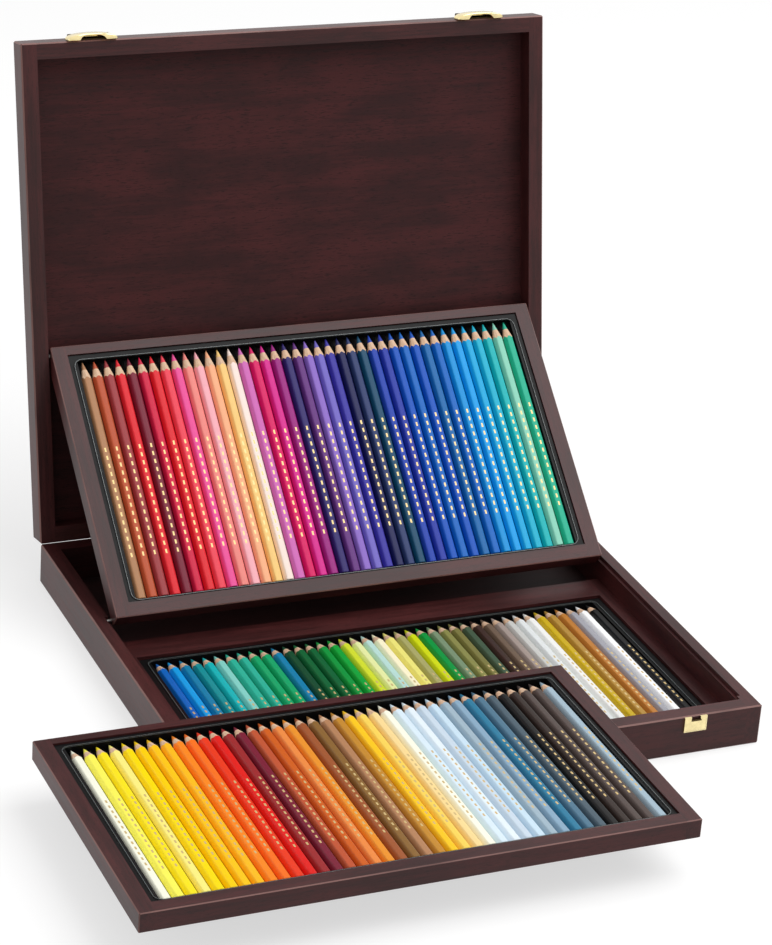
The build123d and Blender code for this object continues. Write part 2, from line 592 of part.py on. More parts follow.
save_at(nest_insert, "nest_insert", nest_plane)
save_at(nest_pencils, "nest_pencils", nest_plane)
save_at(upper_pin.part, "lean_tray_right_pin", lean_plane)
save_at(upper_pin.part.mirror(Plane.YZ), "lean_tray_left_pin", lean_plane)
save_at(guide_pin.part, "lean_tray_right_guide", lean_plane)
save_at(guide_pin.part.mirror(Plane.YZ), "lean_tray_left_guide", lean_plane)
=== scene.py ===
"""Looks of a hinged wooden pencil case: stained wood, brass fittings, black inserts and 120 pencils.

The case stands open. One tray leans between the lid and the base, one lies across the front rim, and a
third row lies in the base. Everything is in metres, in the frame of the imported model.
"""

from __future__ import annotations

import logging
import math
from dataclasses import dataclass, field
from enum import Enum
from functools import cache
from typing import Sequence

import bmesh
import bpy
from mathutils import Matrix, Vector


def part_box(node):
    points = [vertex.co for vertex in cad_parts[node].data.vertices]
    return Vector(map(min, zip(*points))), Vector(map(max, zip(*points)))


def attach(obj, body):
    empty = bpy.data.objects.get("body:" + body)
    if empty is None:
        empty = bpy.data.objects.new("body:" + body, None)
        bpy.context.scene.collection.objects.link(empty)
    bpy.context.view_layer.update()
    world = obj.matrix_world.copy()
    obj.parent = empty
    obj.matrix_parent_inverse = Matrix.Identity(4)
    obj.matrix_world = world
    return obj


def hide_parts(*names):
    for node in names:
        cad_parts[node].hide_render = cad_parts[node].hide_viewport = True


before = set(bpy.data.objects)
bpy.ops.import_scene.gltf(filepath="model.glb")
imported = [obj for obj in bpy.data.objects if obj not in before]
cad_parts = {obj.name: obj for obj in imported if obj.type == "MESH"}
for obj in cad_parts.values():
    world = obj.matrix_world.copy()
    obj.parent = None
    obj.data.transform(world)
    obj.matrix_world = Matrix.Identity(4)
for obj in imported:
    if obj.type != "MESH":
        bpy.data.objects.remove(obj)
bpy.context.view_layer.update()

LOG = logging.getLogger("pencil_case")
MM = 0.001
OPEN_ANGLE = math.radians(101.4)  # the lid's, from shut to the photographed pose

Color = tuple[float, float, float]
Point = tuple[float, float, float]
Socket = bpy.types.NodeSocket
Ports = dict[str, str]


def linear(hex_code: int) -> Color:
    """Turn a written colour into the linear values that shaders take.

    Args:
        hex_code: the colour as 0xRRGGBB.

    Returns:
        Its linear red, green and blue.
    """
    parts = [((hex_code >> shift) & 255) / 255 for shift in (16, 8, 0)]
    curve = [p / 12.92 if p <= 0.04045 else ((p + 0.055) / 1.055) ** 2.4 for p in parts]
    return curve[0], curve[1], curve[2]


class Lacquer(Enum):
    """The lacquers of the pencils."""

    IVORY = 0xFCFCE8
    LEMON = 0xFFF85E
    BRIGHT_LEMON = 0xFFE81E
    PALE_LEMON = 0xFFF284
    YELLOW = 0xFFE000
    SUN = 0xFFD200
    GOLDEN = 0xFFC812
    AMBER = 0xFFBE1C
    TANGERINE = 0xFC8A20
    RED_ORANGE = 0xFA7420
    FLAME = 0xEC3C1C
    SCARLET = 0xE2201A
    RED = 0xE42430
    CRIMSON = 0xD41A44
    OXBLOOD = 0x9C2A2C
    MAROON = 0x7A1E34
    RUST = 0xC05634
    BROWN_RED = 0xA03C40
    BURNT_ORANGE = 0xD0601E
    LIGHT_ORANGE = 0xEE8C44
    OCHRE_ORANGE = 0xEC942C
    SIENNA = 0xA05830
    TAN = 0xB4825C
    OLIVE_BROWN = 0x8A6432
    OCHRE = 0xC48A30
    GOLD_YELLOW = 0xFECA1E
    PALE_GOLD = 0xFAD65C
    SAND = 0xFADC98
    CORAL = 0xF24658
    HOT_PINK = 0xF0529C
    SALMON = 0xF48C84
    PALE_PINK = 0xFBB2BC
    PEACH = 0xFCB488
    APRICOT = 0xFCD080
    SHELL = 0xFFEADF
    ORCHID = 0xD46CBA
    MAGENTA = 0xDC1264
    FUCHSIA = 0xDA2490
    PURPLE = 0x9C2080
    NIGHT_VIOLET = 0x2C2068
    DARK_PURPLE = 0x64307E
    LILAC = 0x8E6CC8
    BLUE_LILAC = 0x7468C4
    DARK_BLUE_VIOLET = 0x3A34A0
    BLACK_NAVY = 0x141850
    SLATE_NAVY = 0x283868
    DARK_TEAL = 0x0C4868
    ROYAL = 0x1C40AC
    INDIGO = 0x2438A4
    BLUE = 0x0E54BC
    MID_BLUE = 0x0C66C0
    STEEL_BLUE = 0x1268AC
    SKY = 0x0C94DC
    CYAN_BLUE = 0x10A0EA
    LIGHT_CYAN = 0x12AAE0
    CYAN = 0x14B2D2
    TURQUOISE = 0x10B6BA
    PALE_MINT = 0x8CD4BC
    TEAL_GREEN = 0x22B492
    TEAL_BLUE = 0x1080AC
    TEAL = 0x0E9098
    MINT = 0x84D4CA
    SEA_GREEN = 0x2AB49A
    EMERALD = 0x12A66A
    GREEN = 0x12963F
    DARK_GREEN = 0x0F6436
    FOREST = 0x124C30
    BRIGHT_GREEN = 0x14A43C
    YELLOW_GREEN = 0xD4E232
    PALE_GREEN_CREAM = 0xEAF2A8
    PALE_BLUE_GREEN = 0xBCE2DA
    PALE_YELLOW = 0xFFF8D2
    LIGHT_YELLOW = 0xF2EA7C
    LIGHT_OLIVE = 0xACAA6A
    LIME = 0xD2DE12
    SAGE = 0x7A9272
    OLIVE = 0x8A8A4C
    KHAKI = 0x7C7840
    GREY_GREEN = 0x445842
    DARK_BROWN = 0x3E2A22
    TAUPE = 0x6E5A4A
    LIGHT_TAUPE = 0xA4948C
    LIGHT_GREY = 0xCCCCC8
    WHITE_GREY = 0xE4E8E8
    CREAM_WHITE = 0xF4F4F0
    GOLD_OCHRE = 0xCCAC14
    BRONZE = 0xB48A3A
    COPPER = 0xBC7A32
    SILVER = 0xA4A4AC
    WHITE = 0xFFFFFF
    BLACK = 0x0E0E0E
    PALE_SKY = 0xDCEEFA
    SKY_WHITE = 0xE8F4FC
    GREY_LAVENDER = 0xCCDCEA
    BLUE_WHITE = 0xCCE4F4
    LIGHT_GREY_BLUE = 0xA2B8C6
    GREY_BLUE = 0x8AAAC2
    PETROL = 0x2C7A9C
    SLATE_BLUE = 0x50768E
    SLATE = 0x4C5E6A
    BROWN_BLACK = 0x30241F
    DARK_TAUPE = 0x524642


L = Lacquer
LEAN_ROW = (
    L.TAN, L.RUST, L.BROWN_RED, L.RED, L.MAROON, L.CRIMSON, L.RED, L.CORAL, L.HOT_PINK, L.SALMON,
    L.PALE_PINK, L.PEACH, L.APRICOT, L.SHELL, L.ORCHID, L.MAGENTA, L.FUCHSIA, L.PURPLE, L.NIGHT_VIOLET,
    L.DARK_PURPLE, L.LILAC, L.BLUE_LILAC, L.DARK_BLUE_VIOLET, L.BLACK_NAVY, L.SLATE_NAVY, L.DARK_TEAL,
    L.ROYAL, L.INDIGO, L.BLUE, L.MID_BLUE, L.BLUE, L.STEEL_BLUE, L.MID_BLUE, L.SKY, L.CYAN_BLUE,
    L.LIGHT_CYAN, L.CYAN, L.TURQUOISE, L.PALE_MINT, L.TEAL_GREEN,
)
NEST_ROW = (
    L.MID_BLUE, L.CYAN_BLUE, L.TEAL_BLUE, L.TEAL, L.TURQUOISE, L.MINT, L.SEA_GREEN, L.SEA_GREEN,
    L.EMERALD, L.EMERALD, L.TEAL_BLUE, L.FOREST, L.DARK_GREEN, L.DARK_GREEN, L.GREEN, L.BRIGHT_GREEN,
    L.YELLOW_GREEN, L.PALE_GREEN_CREAM, L.PALE_BLUE_GREEN, L.PALE_YELLOW, L.LIGHT_YELLOW, L.LIGHT_OLIVE,
    L.LIME, L.GREEN, L.SAGE, L.OLIVE, L.KHAKI, L.GREY_GREEN, L.DARK_BROWN, L.TAUPE,
    L.LIGHT_TAUPE, L.LIGHT_GREY, L.WHITE_GREY, L.CREAM_WHITE, L.GOLD_OCHRE, L.BRONZE, L.COPPER,
    L.SILVER, L.WHITE, L.BLACK,
)
LOOSE_ROW = (
    L.IVORY, L.LEMON, L.BRIGHT_LEMON, L.PALE_LEMON, L.YELLOW, L.SUN, L.GOLDEN, L.AMBER, L.TANGERINE,
    L.RED_ORANGE, L.FLAME, L.SCARLET, L.OXBLOOD, L.MAROON, L.RUST, L.BURNT_ORANGE, L.LIGHT_ORANGE,
    L.OCHRE_ORANGE, L.SIENNA, L.OLIVE_BROWN, L.TAN, L.OCHRE, L.GOLD_YELLOW, L.PALE_GOLD, L.SAND,
    L.IVORY, L.PALE_SKY, L.SKY_WHITE, L.GREY_LAVENDER, L.BLUE_WHITE, L.LIGHT_GREY_BLUE, L.GREY_BLUE,
    L.PETROL, L.SLATE_BLUE, L.SLATE, L.BLACK, L.BROWN_BLACK, L.DARK_TAUPE, L.DARK_TAUPE, L.LIGHT_GREY_BLUE,
)


# ---- building shaders -------------------------------------------------------------------------


class Graph:
    """A node tree that is written as plain expressions."""

    def __init__(self, tree: bpy.types.NodeTree) -> None:
        """Keep the tree that nodes are added to."""
        self.tree = tree

    def add(self, kind: str, **inputs: object) -> bpy.types.Node:
        """Add a node and fill its inputs.

        Args:
            kind: Blender's name of the node.
            **inputs: a value or an output socket for each input, its name in lower case with _ for spaces.

        Returns:
            The new node.
        """
        node = self.tree.nodes.new(kind)
        names = {s.name.lower().replace(" ", "_"): s for s in reversed(node.inputs)}
        for name, value in inputs.items():
            self.feed(names[name], value)
        return node

    def feed(self, socket: Socket, value: object) -> None:
        """Link an output to a socket, or write a plain value into it."""
        if isinstance(value, Socket):
            self.tree.links.new(value, socket)
        elif socket.type == "RGBA":
            socket.default_value = (*value, 1.0)
        else:
            socket.default_value = value

    def wire(self, node: bpy.types.Node, values: dict[str, object]) -> None:
        """Feed several inputs of a node by name."""
        for name, value in values.items():
            self.feed(node.inputs[name], value)

    def math(self, operation: str, *terms: object) -> Socket:
        """The result of one Math node on numbers or sockets."""
        node = self.tree.nodes.new("ShaderNodeMath")
        node.operation = operation
        for socket, term in zip(node.inputs, terms):
            self.feed(socket, term)
        return node.outputs[0]

    def product(self, *terms: object) -> Socket:
        """The terms multiplied together."""
        result = terms[0]
        for term in terms[1:]:
            result = self.math("MULTIPLY", result, term)
        return result

    def ramp(self, value: object, low: float, high: float, start: float = 0.0, end: float = 1.0) -> Socket:
        """A smooth step of value, from start at low to end at high."""
        node = self.tree.nodes.new("ShaderNodeMapRange")
        node.interpolation_type = "SMOOTHSTEP"
        for socket, term in zip(node.inputs, (value, low, high, start, end)):
            self.feed(socket, term)
        return node.outputs[0]

    def mix(self, factor: object, first: object, second: object, blend: str = "MIX") -> Socket:
        """A mix of two colours."""
        node = self.tree.nodes.new("ShaderNodeMix")
        node.data_type = "RGBA"
        node.blend_type = blend
        for index, value in ((0, factor), (6, first), (7, second)):
            self.feed(node.inputs[index], value)
        return node.outputs[2]

    def darkened(self, color: object, share: float) -> Socket:
        """A colour multiplied by a plain share."""
        return self.mix(1.0, color, (share, share, share), "MULTIPLY")

    def noise(self, vector: object, scale: float, detail: float = 3.0, rough: float = 0.55) -> Socket:
        """Plain noise at a scale."""
        node = self.add("ShaderNodeTexNoise", vector=vector, scale=scale, detail=detail, roughness=rough)
        return node.outputs["Fac"]

    def stretched(self, vector: object, scale: Point = (1, 1, 1), turn: Point = (0, 0, 0)) -> Socket:
        """A vector that is turned and scaled."""
        return self.add("ShaderNodeMapping", vector=vector, rotation=turn, scale=scale).outputs[0]

    def coordinates(self, kind: str = "Object") -> Socket:
        """The place or the normal on the piece."""
        return self.add("ShaderNodeTexCoord").outputs[kind]

    def attribute(self, name: str) -> bpy.types.Node:
        """A shader node that reads an attribute of the mesh."""
        node = self.tree.nodes.new("ShaderNodeAttribute")
        node.attribute_name = name
        return node

    def group(self, tree: bpy.types.NodeTree, *values: object) -> bpy.types.Node:
        """A shared group, its inputs fed in order."""
        node = self.tree.nodes.new("ShaderNodeGroup")
        node.node_tree = tree
        for socket, value in zip(node.inputs, values):
            self.feed(socket, value)
        return node

    def bump(self, height: object, strength: float, distance: float) -> Socket:
        """A normal that follows a height."""
        return self.add("ShaderNodeBump", height=height, strength=strength, distance=distance).outputs[0]

    def looked_at(self) -> Socket:
        """One for rays that show a thing to the camera, directly or by a mirror or glass, else zero."""
        rays = self.add("ShaderNodeLightPath").outputs
        indirect = self.math("MAXIMUM", rays["Is Glossy Ray"], rays["Is Transmission Ray"])
        return self.math("MAXIMUM", rays["Is Camera Ray"], indirect)

    def stored(self, name: str, kind: str) -> Socket:
        """An attribute of the geometry."""
        node = self.tree.nodes.new("GeometryNodeInputNamedAttribute")
        node.data_type = kind
        node.inputs["Name"].default_value = name
        return node.outputs[0]

    def chance(self, low: object, high: object, seed: object) -> Socket:
        """A random number for each instance."""
        node = self.tree.nodes.new("FunctionNodeRandomValue")
        node.data_type = "FLOAT"
        for socket, value in zip([s for s in node.inputs if s.type == "VALUE"], (low, high)):
            self.feed(socket, value)
        self.feed(node.inputs["Seed"], seed)
        return next(s for s in node.outputs if s.type == "VALUE")


def new_tree(
    name: str, kind: str, inputs: Ports, outputs: Ports,
) -> tuple[Graph, bpy.types.NodeOutputs, bpy.types.Node]:
    """Start a node tree.

    Args:
        name: the tree's name.
        kind: Blender's name of its type.
        inputs: the socket type of each input, by name.
        outputs: the socket type of each output, by name.

    Returns:
        The graph that fills it, the sockets that bring its inputs, and the node that takes its outputs.
    """
    tree = bpy.data.node_groups.new(name, kind)
    for ports, way in ((inputs, "INPUT"), (outputs, "OUTPUT")):
        for label, socket in ports.items():
            tree.interface.new_socket(label, in_out=way, socket_type=socket)
    graph = Graph(tree)
    return graph, graph.add("NodeGroupInput").outputs, graph.add("NodeGroupOutput")


VECTOR = "NodeSocketVector"
FLOAT = "NodeSocketFloat"
COLOR = "NodeSocketColor"
WHOLE = "NodeSocketInt"
THING = "NodeSocketObject"
SHAPE = "NodeSocketGeometry"
WHITE = (1.0, 1.0, 1.0)
SHADER_TREE = "ShaderNodeTree"
GEOMETRY_TREE = "GeometryNodeTree"


@dataclass(frozen=True)
class Layer:
    """One layer of the wood's figure, drawn out along the grain."""

    along: float
    scale: float
    detail: float
    rough: float


@dataclass(frozen=True)
class Figure:
    """How the layers of the wood's figure make its colour, gloss and height."""

    streaks: Layer = Layer(0.05, 420.0, 4.0, 0.6)
    bands: Layer = Layer(0.10, 90.0, 2.0, 0.5)
    clouds: Layer = Layer(0.45, 34.0, 3.0, 0.6)
    pores: Layer = Layer(0.14, 1500.0, 2.0, 0.5)
    streak_share: float = 0.45
    band_share: float = 0.35
    tone: tuple[float, float] = (0.24, 0.58)
    marks: tuple[float, float] = (0.56, 0.68)
    # painted highlight on eased edges: faces slanted this much take the edge colour, more in some patches
    # than others
    edge_slant: tuple[float, float] = (0.30, 0.42)
    edge_wear: tuple[float, float, float, float] = (0.30, 0.55, 0.35, 0.9)
    streak_gloss: float = 0.16
    pore_depth: float = 0.6


FIGURE = Figure()


class Groups:
    """The effects that several materials share, each built once."""

    def __init__(self) -> None:
        """Build all groups."""
        self.wood = self._wood()
        self.foil = self._foil()
        self.handling = self._handling()

    @staticmethod
    def _wood() -> bpy.types.NodeTree:
        """Stained wood with its grain along the vector's X, and a painted highlight on faces slanted like
        eased edges.

        Returns:
            The group, with a colour, a roughness and a height.
        """
        graph, given, sink = new_tree(
            "stained_wood", SHADER_TREE,
            {
                "Vector": VECTOR, "Dark": COLOR, "Light": COLOR, "Fleck": COLOR, "Flecks": FLOAT,
                "Mottle": FLOAT, "Sheen": FLOAT, "Facing": VECTOR, "Edge": COLOR,
            },
            {"Color": COLOR, "Roughness": FLOAT, "Height": FLOAT},
        )
        streaks, bands, clouds, pores = (
            graph.noise(graph.stretched(given["Vector"], (a.along, 1.0, 1.0)), a.scale, a.detail, a.rough)
            for a in (FIGURE.streaks, FIGURE.bands, FIGURE.clouds, FIGURE.pores)
        )
        lines = graph.math(
            "ADD", graph.product(streaks, FIGURE.streak_share), graph.product(bands, FIGURE.band_share),
        )
        mottle = graph.product(graph.math("SUBTRACT", clouds, 0.5), given["Mottle"])
        tone = graph.ramp(graph.math("ADD", lines, mottle), *FIGURE.tone)
        color = graph.mix(tone, given["Dark"], given["Light"])
        marks = graph.product(graph.ramp(pores, *FIGURE.marks), given["Flecks"])
        color = graph.mix(marks, color, given["Fleck"])
        turn = graph.add("ShaderNodeSeparateXYZ", vector=given["Facing"]).outputs
        sides = [graph.math("ABSOLUTE", part) for part in turn]
        pairs = [graph.product(sides[a], sides[b]) for a, b in ((0, 1), (1, 2), (0, 2))]
        slant = graph.math("MAXIMUM", pairs[0], graph.math("MAXIMUM", pairs[1], pairs[2]))
        # painted highlight: faces slanted like eased edges are mixed towards the lighter edge colour,
        # unevenly along their length
        eased = graph.product(graph.ramp(slant, *FIGURE.edge_slant), graph.ramp(clouds, *FIGURE.edge_wear))
        graph.wire(sink, {
            "Color": graph.mix(eased, color, given["Edge"]),
            "Roughness": graph.math("ADD", given["Sheen"], graph.product(streaks, FIGURE.streak_gloss)),
            "Height": graph.math("SUBTRACT", streaks, graph.product(pores, FIGURE.pore_depth)),
        })
        return graph.tree

    @staticmethod
    def _foil() -> bpy.types.NodeTree:
        """One even row of plain dashes on a pencil's upper flat, read from the place on the pencil.

        Returns:
            The group, with a mask for the dashes.
        """
        graph, given, sink = new_tree(
            "foil_dashes", SHADER_TREE, {"Place": VECTOR, "Level": FLOAT}, {"Mask": FLOAT},
        )
        x, y, z = graph.add("ShaderNodeSeparateXYZ", vector=given["Place"]).outputs
        steps = graph.math("DIVIDE", graph.math("SUBTRACT", y, DASHES.start), DASHES.period)
        mask = graph.product(
            graph.math("GREATER_THAN", y, DASHES.start),
            graph.math("LESS_THAN", y, DASHES.end),
            graph.math("LESS_THAN", graph.math("FRACT", steps), DASHES.share),
            graph.math("LESS_THAN", graph.math("ABSOLUTE", x), DASHES.half_width),
            graph.math("GREATER_THAN", z, given["Level"]),
        )
        graph.wire(sink, {"Mask": mask})
        return graph.tree

    @staticmethod
    def _handling() -> bpy.types.NodeTree:
        """Faint smudges that vary a gloss.

        Returns:
            The group, with a roughness and a height.
        """
        graph, given, sink = new_tree(
            "handling", SHADER_TREE, {"Vector": VECTOR, "Roughness": FLOAT, "Spread": FLOAT, "Scale": FLOAT},
            {"Roughness": FLOAT, "Height": FLOAT},
        )
        noise = graph.add("ShaderNodeTexNoise", vector=given["Vector"], scale=given["Scale"], detail=4.0)
        cloud = noise.outputs["Fac"]
        shift = graph.product(graph.math("SUBTRACT", cloud, 0.5), given["Spread"])
        graph.wire(sink, {"Roughness": graph.math("ADD", given["Roughness"], shift), "Height": cloud})
        return graph.tree


@dataclass(frozen=True)
class Dashes:
    """One even row of dashes, in metres from the pencil's point."""

    start: float = 66 * MM
    end: float = 150 * MM
    period: float = 6 * MM
    share: float = 0.5
    half_width: float = 0.6 * MM


DASHES = Dashes()


# ---- finishes -----------------------------------------------------------------------------------


class Grain(Enum):
    """Which way the wood's grain runs, in its own board."""

    ALONG_X = 0
    ALONG_Y = 1


@dataclass(frozen=True)
class WoodFinish:
    """Stained and lacquered wood, with a painted highlight colour on its eased edges."""

    name: str
    dark: int
    light: int
    fleck: int
    flecks: float
    mottle: float
    sheen: float
    edge: int
    coat: float
    gloss: float
    bump: float = 0.05
    bump_reach: float = 0.4 * MM
    coat_roughness: float = 0.22

    @cache
    def material(self, grain: Grain, tilt: float) -> bpy.types.Material:
        """Make the wood for boards that lie one way. It is made once.

        Args:
            grain: the way the grain runs.
            tilt: how far the board is turned about X from lying flat, in radians.

        Returns:
            The material.
        """
        name = f"{self.name}_{grain.name.lower()}_{round(math.degrees(tilt))}"
        material, graph, shader = principled(name)
        place = graph.stretched(graph.coordinates(), turn=(-tilt, 0, 0))
        if grain is Grain.ALONG_Y:
            place = graph.stretched(place, turn=(0, 0, math.pi / 2))
        facing = graph.stretched(graph.coordinates("Normal"), turn=(-tilt, 0, 0))
        wood = graph.group(
            GROUPS.wood, place, linear(self.dark), linear(self.light), linear(self.fleck), self.flecks,
            self.mottle, self.sheen, facing, linear(self.edge),
        ).outputs
        graph.wire(shader, {
            "Base Color": wood["Color"],
            "Roughness": wood["Roughness"],
            "Coat Weight": self.coat,
            "Coat Roughness": self.coat_roughness,
            "Specular IOR Level": self.gloss,
            "Normal": graph.bump(wood["Height"], self.bump, self.bump_reach),
        })
        return material


@dataclass(frozen=True)
class SmoothFinish:
    """Metal or plastic with faint smudges."""

    name: str
    color: int
    metallic: float
    roughness: float
    spread: float
    scale: float
    coat: float = 0.0
    gloss: float = 0.5
    smudges: tuple[float, float] = (0.3, 0.75)
    smudged: float = 0.82
    bump: float = 0.03
    bump_reach: float = 0.3 * MM

    @cache
    def material(self) -> bpy.types.Material:
        """Make the material. It is made once."""
        material, graph, shader = principled(self.name)
        smudge = graph.group(
            GROUPS.handling, graph.coordinates(), self.roughness, self.spread, self.scale,
        ).outputs
        clean = linear(self.color)
        dull = tuple(part * self.smudged for part in clean)
        graph.wire(shader, {
            "Base Color": graph.mix(graph.ramp(smudge["Height"], *self.smudges), clean, dull),
            "Metallic": self.metallic,
            "Roughness": smudge["Roughness"],
            "Coat Weight": self.coat,
            "Specular IOR Level": self.gloss,
            "Normal": graph.bump(smudge["Height"], self.bump, self.bump_reach),
        })
        return material


def principled(name: str) -> tuple[bpy.types.Material, Graph, bpy.types.Node]:
    """Start a material around one Principled BSDF.

    Args:
        name: the material's name.

    Returns:
        The material, its graph and the shader node.
    """
    material = bpy.data.materials.new(name)
    material.use_nodes = True
    shader = material.node_tree.nodes["Principled BSDF"]
    return material, Graph(material.node_tree), shader


GROUPS = Groups()
# the eighth colour of each wood is its painted highlight on eased edges
RAIL_WOOD = WoodFinish("rail_wood", 0x2E1111, 0x4A2020, 0x1A0B0A, 0.5, 0.40, 0.36, 0x86605A, 0.07, 0.28)
PANEL_WOOD = WoodFinish("panel_wood", 0x2E1213, 0x441C1D, 0x1C0A0A, 0.8, 0.75, 0.52, 0x5A3432, 0.0, 0.22)
FLOOR_WOOD = WoodFinish("floor_wood", 0x241212, 0x361C1C, 0x150A09, 0.5, 0.5, 0.50, 0x46302C, 0.0, 0.30)
BRASS = SmoothFinish("polished_brass", 0xFBE8AE, 1.0, 0.16, 0.10, 180.0)
# dark brass that stands for shade: painted shade on the clasp leaves and pins and in the keepers' notches
SHADED_BRASS = SmoothFinish("aged_brass", 0x3E3220, 1.0, 0.45, 0.14, 220.0)
# light grey sheet for the liners' beads: a painted highlight on the black plastic
BEAD_HIGHLIGHT = SmoothFinish("bead_sheet", 0x646C6C, 0.0, 0.26, 0.10, 200.0, 0.5)
STEEL = SmoothFinish("turned_steel", 0xB4B2AE, 1.0, 0.30, 0.10, 300.0)
BLACK_SHEET = SmoothFinish("black_sheet", 0x0A0A0B, 0.0, 0.42, 0.14, 90.0, 0.0, 0.14)


@dataclass(frozen=True)
class PencilFinish:
    """The three surfaces of a pencil, all read from attributes on its mesh."""

    foil: int = 0xD9BE84
    foil_level: float = 3.3 * MM
    foil_metal: float = 0.35
    gloss: tuple[float, float] = (0.36, 0.42)
    specular: float = 0.16
    coat: float = 0.03
    coat_roughness: float = 0.15
    clouds: tuple[float, float, float, float] = (0.35, 0.75, 0.0, 0.10)
    cloud_scale: float = 160.0
    clouded: float = 0.72
    cedar_dark: int = 0xD2A27C
    cedar_light: int = 0xF3D8BC
    cedar_grain: Point = (1.0, 0.12, 0.4)
    cedar_scale: float = 1400.0
    cedar_gloss: tuple[float, float, float, float] = (0.2, 0.8, 0.62, 0.78)
    cedar_bump: float = 0.2
    cedar_reach: float = 0.1 * MM
    wax_scale: float = 2400.0
    wax: tuple[float, float, float, float] = (0.3, 0.8, 0.0, 0.35)
    wax_gloss: tuple[float, float, float, float] = (0.2, 0.8, 0.45, 0.6)
    waxed: float = 0.6

    def lacquer(self) -> bpy.types.Material:
        """Glossy lacquer with plain gold dashes."""
        material, graph, shader = principled("pencil_lacquer")
        tint = graph.attribute("lacquer").outputs["Color"]
        place = graph.attribute("place").outputs["Vector"]
        mask = graph.group(GROUPS.foil, place, self.foil_level).outputs["Mask"]
        cloud = graph.ramp(graph.noise(graph.coordinates(), self.cloud_scale), *self.clouds)
        body = graph.mix(cloud, tint, graph.darkened(tint, self.clouded))
        graph.wire(shader, {
            "Base Color": graph.mix(mask, body, linear(self.foil)),
            "Metallic": graph.product(mask, self.foil_metal),
            "Roughness": graph.ramp(mask, 0.0, 1.0, *self.gloss),
            "Coat Weight": self.coat,
            "Coat Roughness": self.coat_roughness,
            "Specular IOR Level": self.specular,
        })
        return material

    def wood(self) -> bpy.types.Material:
        """Bare cedar at the sharpened cone."""
        material, graph, shader = principled("pencil_cedar")
        grain = graph.noise(graph.stretched(graph.coordinates(), self.cedar_grain), self.cedar_scale, 3.0)
        graph.wire(shader, {
            "Base Color": graph.mix(grain, linear(self.cedar_dark), linear(self.cedar_light)),
            "Roughness": graph.ramp(grain, *self.cedar_gloss),
            "Normal": graph.bump(grain, self.cedar_bump, self.cedar_reach),
        })
        return material

    def lead(self) -> bpy.types.Material:
        """Waxy coloured lead."""
        material, graph, shader = principled("pencil_lead")
        tint = graph.attribute("lacquer").outputs["Color"]
        wax = graph.noise(graph.coordinates(), self.wax_scale)
        graph.wire(shader, {
            "Base Color": graph.mix(graph.ramp(wax, *self.wax), tint, graph.darkened(tint, self.waxed)),
            "Roughness": graph.ramp(wax, *self.wax_gloss),
        })
        return material


# ---- boards that the frame already holds --------------------------------------------------------


def dress(material: bpy.types.Material, *names: str) -> None:
    """Give CAD nodes a material.

    Args:
        material: the finish.
        *names: the nodes that get it.
    """
    for name in names:
        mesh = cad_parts[name].data
        mesh.materials.clear()
        mesh.materials.append(material)
        LOG.info("dressed %s in %s", name, material.name)


@dataclass(frozen=True)
class Placement:
    """Where a tray lies: the middle of its front lower edge, and its tilt about X."""

    x: float
    y: float
    z: float
    tilt: float

    def matrix(self) -> Matrix:
        """The matrix from the tray's own frame to the row frame."""
        return Matrix.Translation((self.x, self.y, self.z)) @ Matrix.Rotation(self.tilt, 4, "X")


def middle(node: str) -> Vector:
    """The middle of a node's box."""
    low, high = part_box(node)
    return (low + high) / 2


@dataclass
class TrayPins:
    """The leaning tray's pins, in its own frame, from which its placement follows."""

    guide_b: float = 3.5 * MM
    guide_c: float = 1.45 * MM
    upper_b: float = 197.5 * MM
    upper_c: float = 6.6 * MM

    def placement(self) -> Placement:
        """Work out where the leaning tray lies from its two pins."""
        guide = middle("lean_tray_left_guide")
        upper = middle("lean_tray_left_pin")
        run = math.atan2(upper.z - guide.z, upper.y - guide.y)
        tilt = run - math.atan2(self.upper_c - self.guide_c, self.upper_b - self.guide_b)
        y = guide.y - self.guide_b * math.cos(tilt) + self.guide_c * math.sin(tilt)
        z = guide.z - self.guide_b * math.sin(tilt) - self.guide_c * math.cos(tilt)
        return Placement(0.0, y, z, tilt)


def new_object(name: str, data: bpy.types.ID) -> bpy.types.Object:
    """Make an object and link it to the scene."""
    thing = bpy.data.objects.new(name, data)
    bpy.context.scene.collection.objects.link(thing)
    return thing


def grown(seeds: bpy.types.Object, tree: bpy.types.NodeTree, values: dict[str, object]) -> bpy.types.Mesh:
    """Run a node tree on seed points and keep what it makes as a plain mesh.

    Args:
        seeds: the points, which are removed.
        tree: the node tree.
        values: what its inputs take, by name. Objects among them are removed.

    Returns:
        The mesh.
    """
    modifier = seeds.modifiers.new(tree.name, "NODES")
    modifier.node_group = tree
    for port in tree.interface.items_tree:
        if port.in_out == "INPUT" and port.name in values:
            modifier[port.identifier] = values[port.name]
    bpy.context.view_layer.update()
    mesh = bpy.data.meshes.new_from_object(seeds.evaluated_get(bpy.context.evaluated_depsgraph_get()))
    for scratch in (seeds, *(value for value in values.values() if isinstance(value, bpy.types.Object))):
        bpy.data.objects.remove(scratch)
    return mesh


def closed_mesh(
    name: str, loops: Sequence[Sequence[Vector]], material: bpy.types.Material, ring: bool = False,
) -> bpy.types.Mesh:
    """Join loops of equal length into one closed skin.

    Args:
        name: the mesh's name.
        loops: the loops, each with as many points.
        material: the finish.
        ring: whether the last loop joins the first, so that there are no ends to close.

    Returns:
        The mesh, its faces turned outwards.
    """
    work = bmesh.new()
    rows = [[work.verts.new(point) for point in loop] for loop in loops]
    for low, high in zip(rows, rows[1:] + (rows[:1] if ring else [])):
        for k in range(len(low)):
            work.faces.new((low[k - 1], low[k], high[k], high[k - 1]))
    for end in () if ring else (rows[0], rows[-1]):
        work.faces.new(end)
    bmesh.ops.recalc_face_normals(work, faces=work.faces)
    mesh = bpy.data.meshes.new(name)
    work.to_mesh(mesh)
    work.free()
    mesh.materials.append(material)
    return mesh


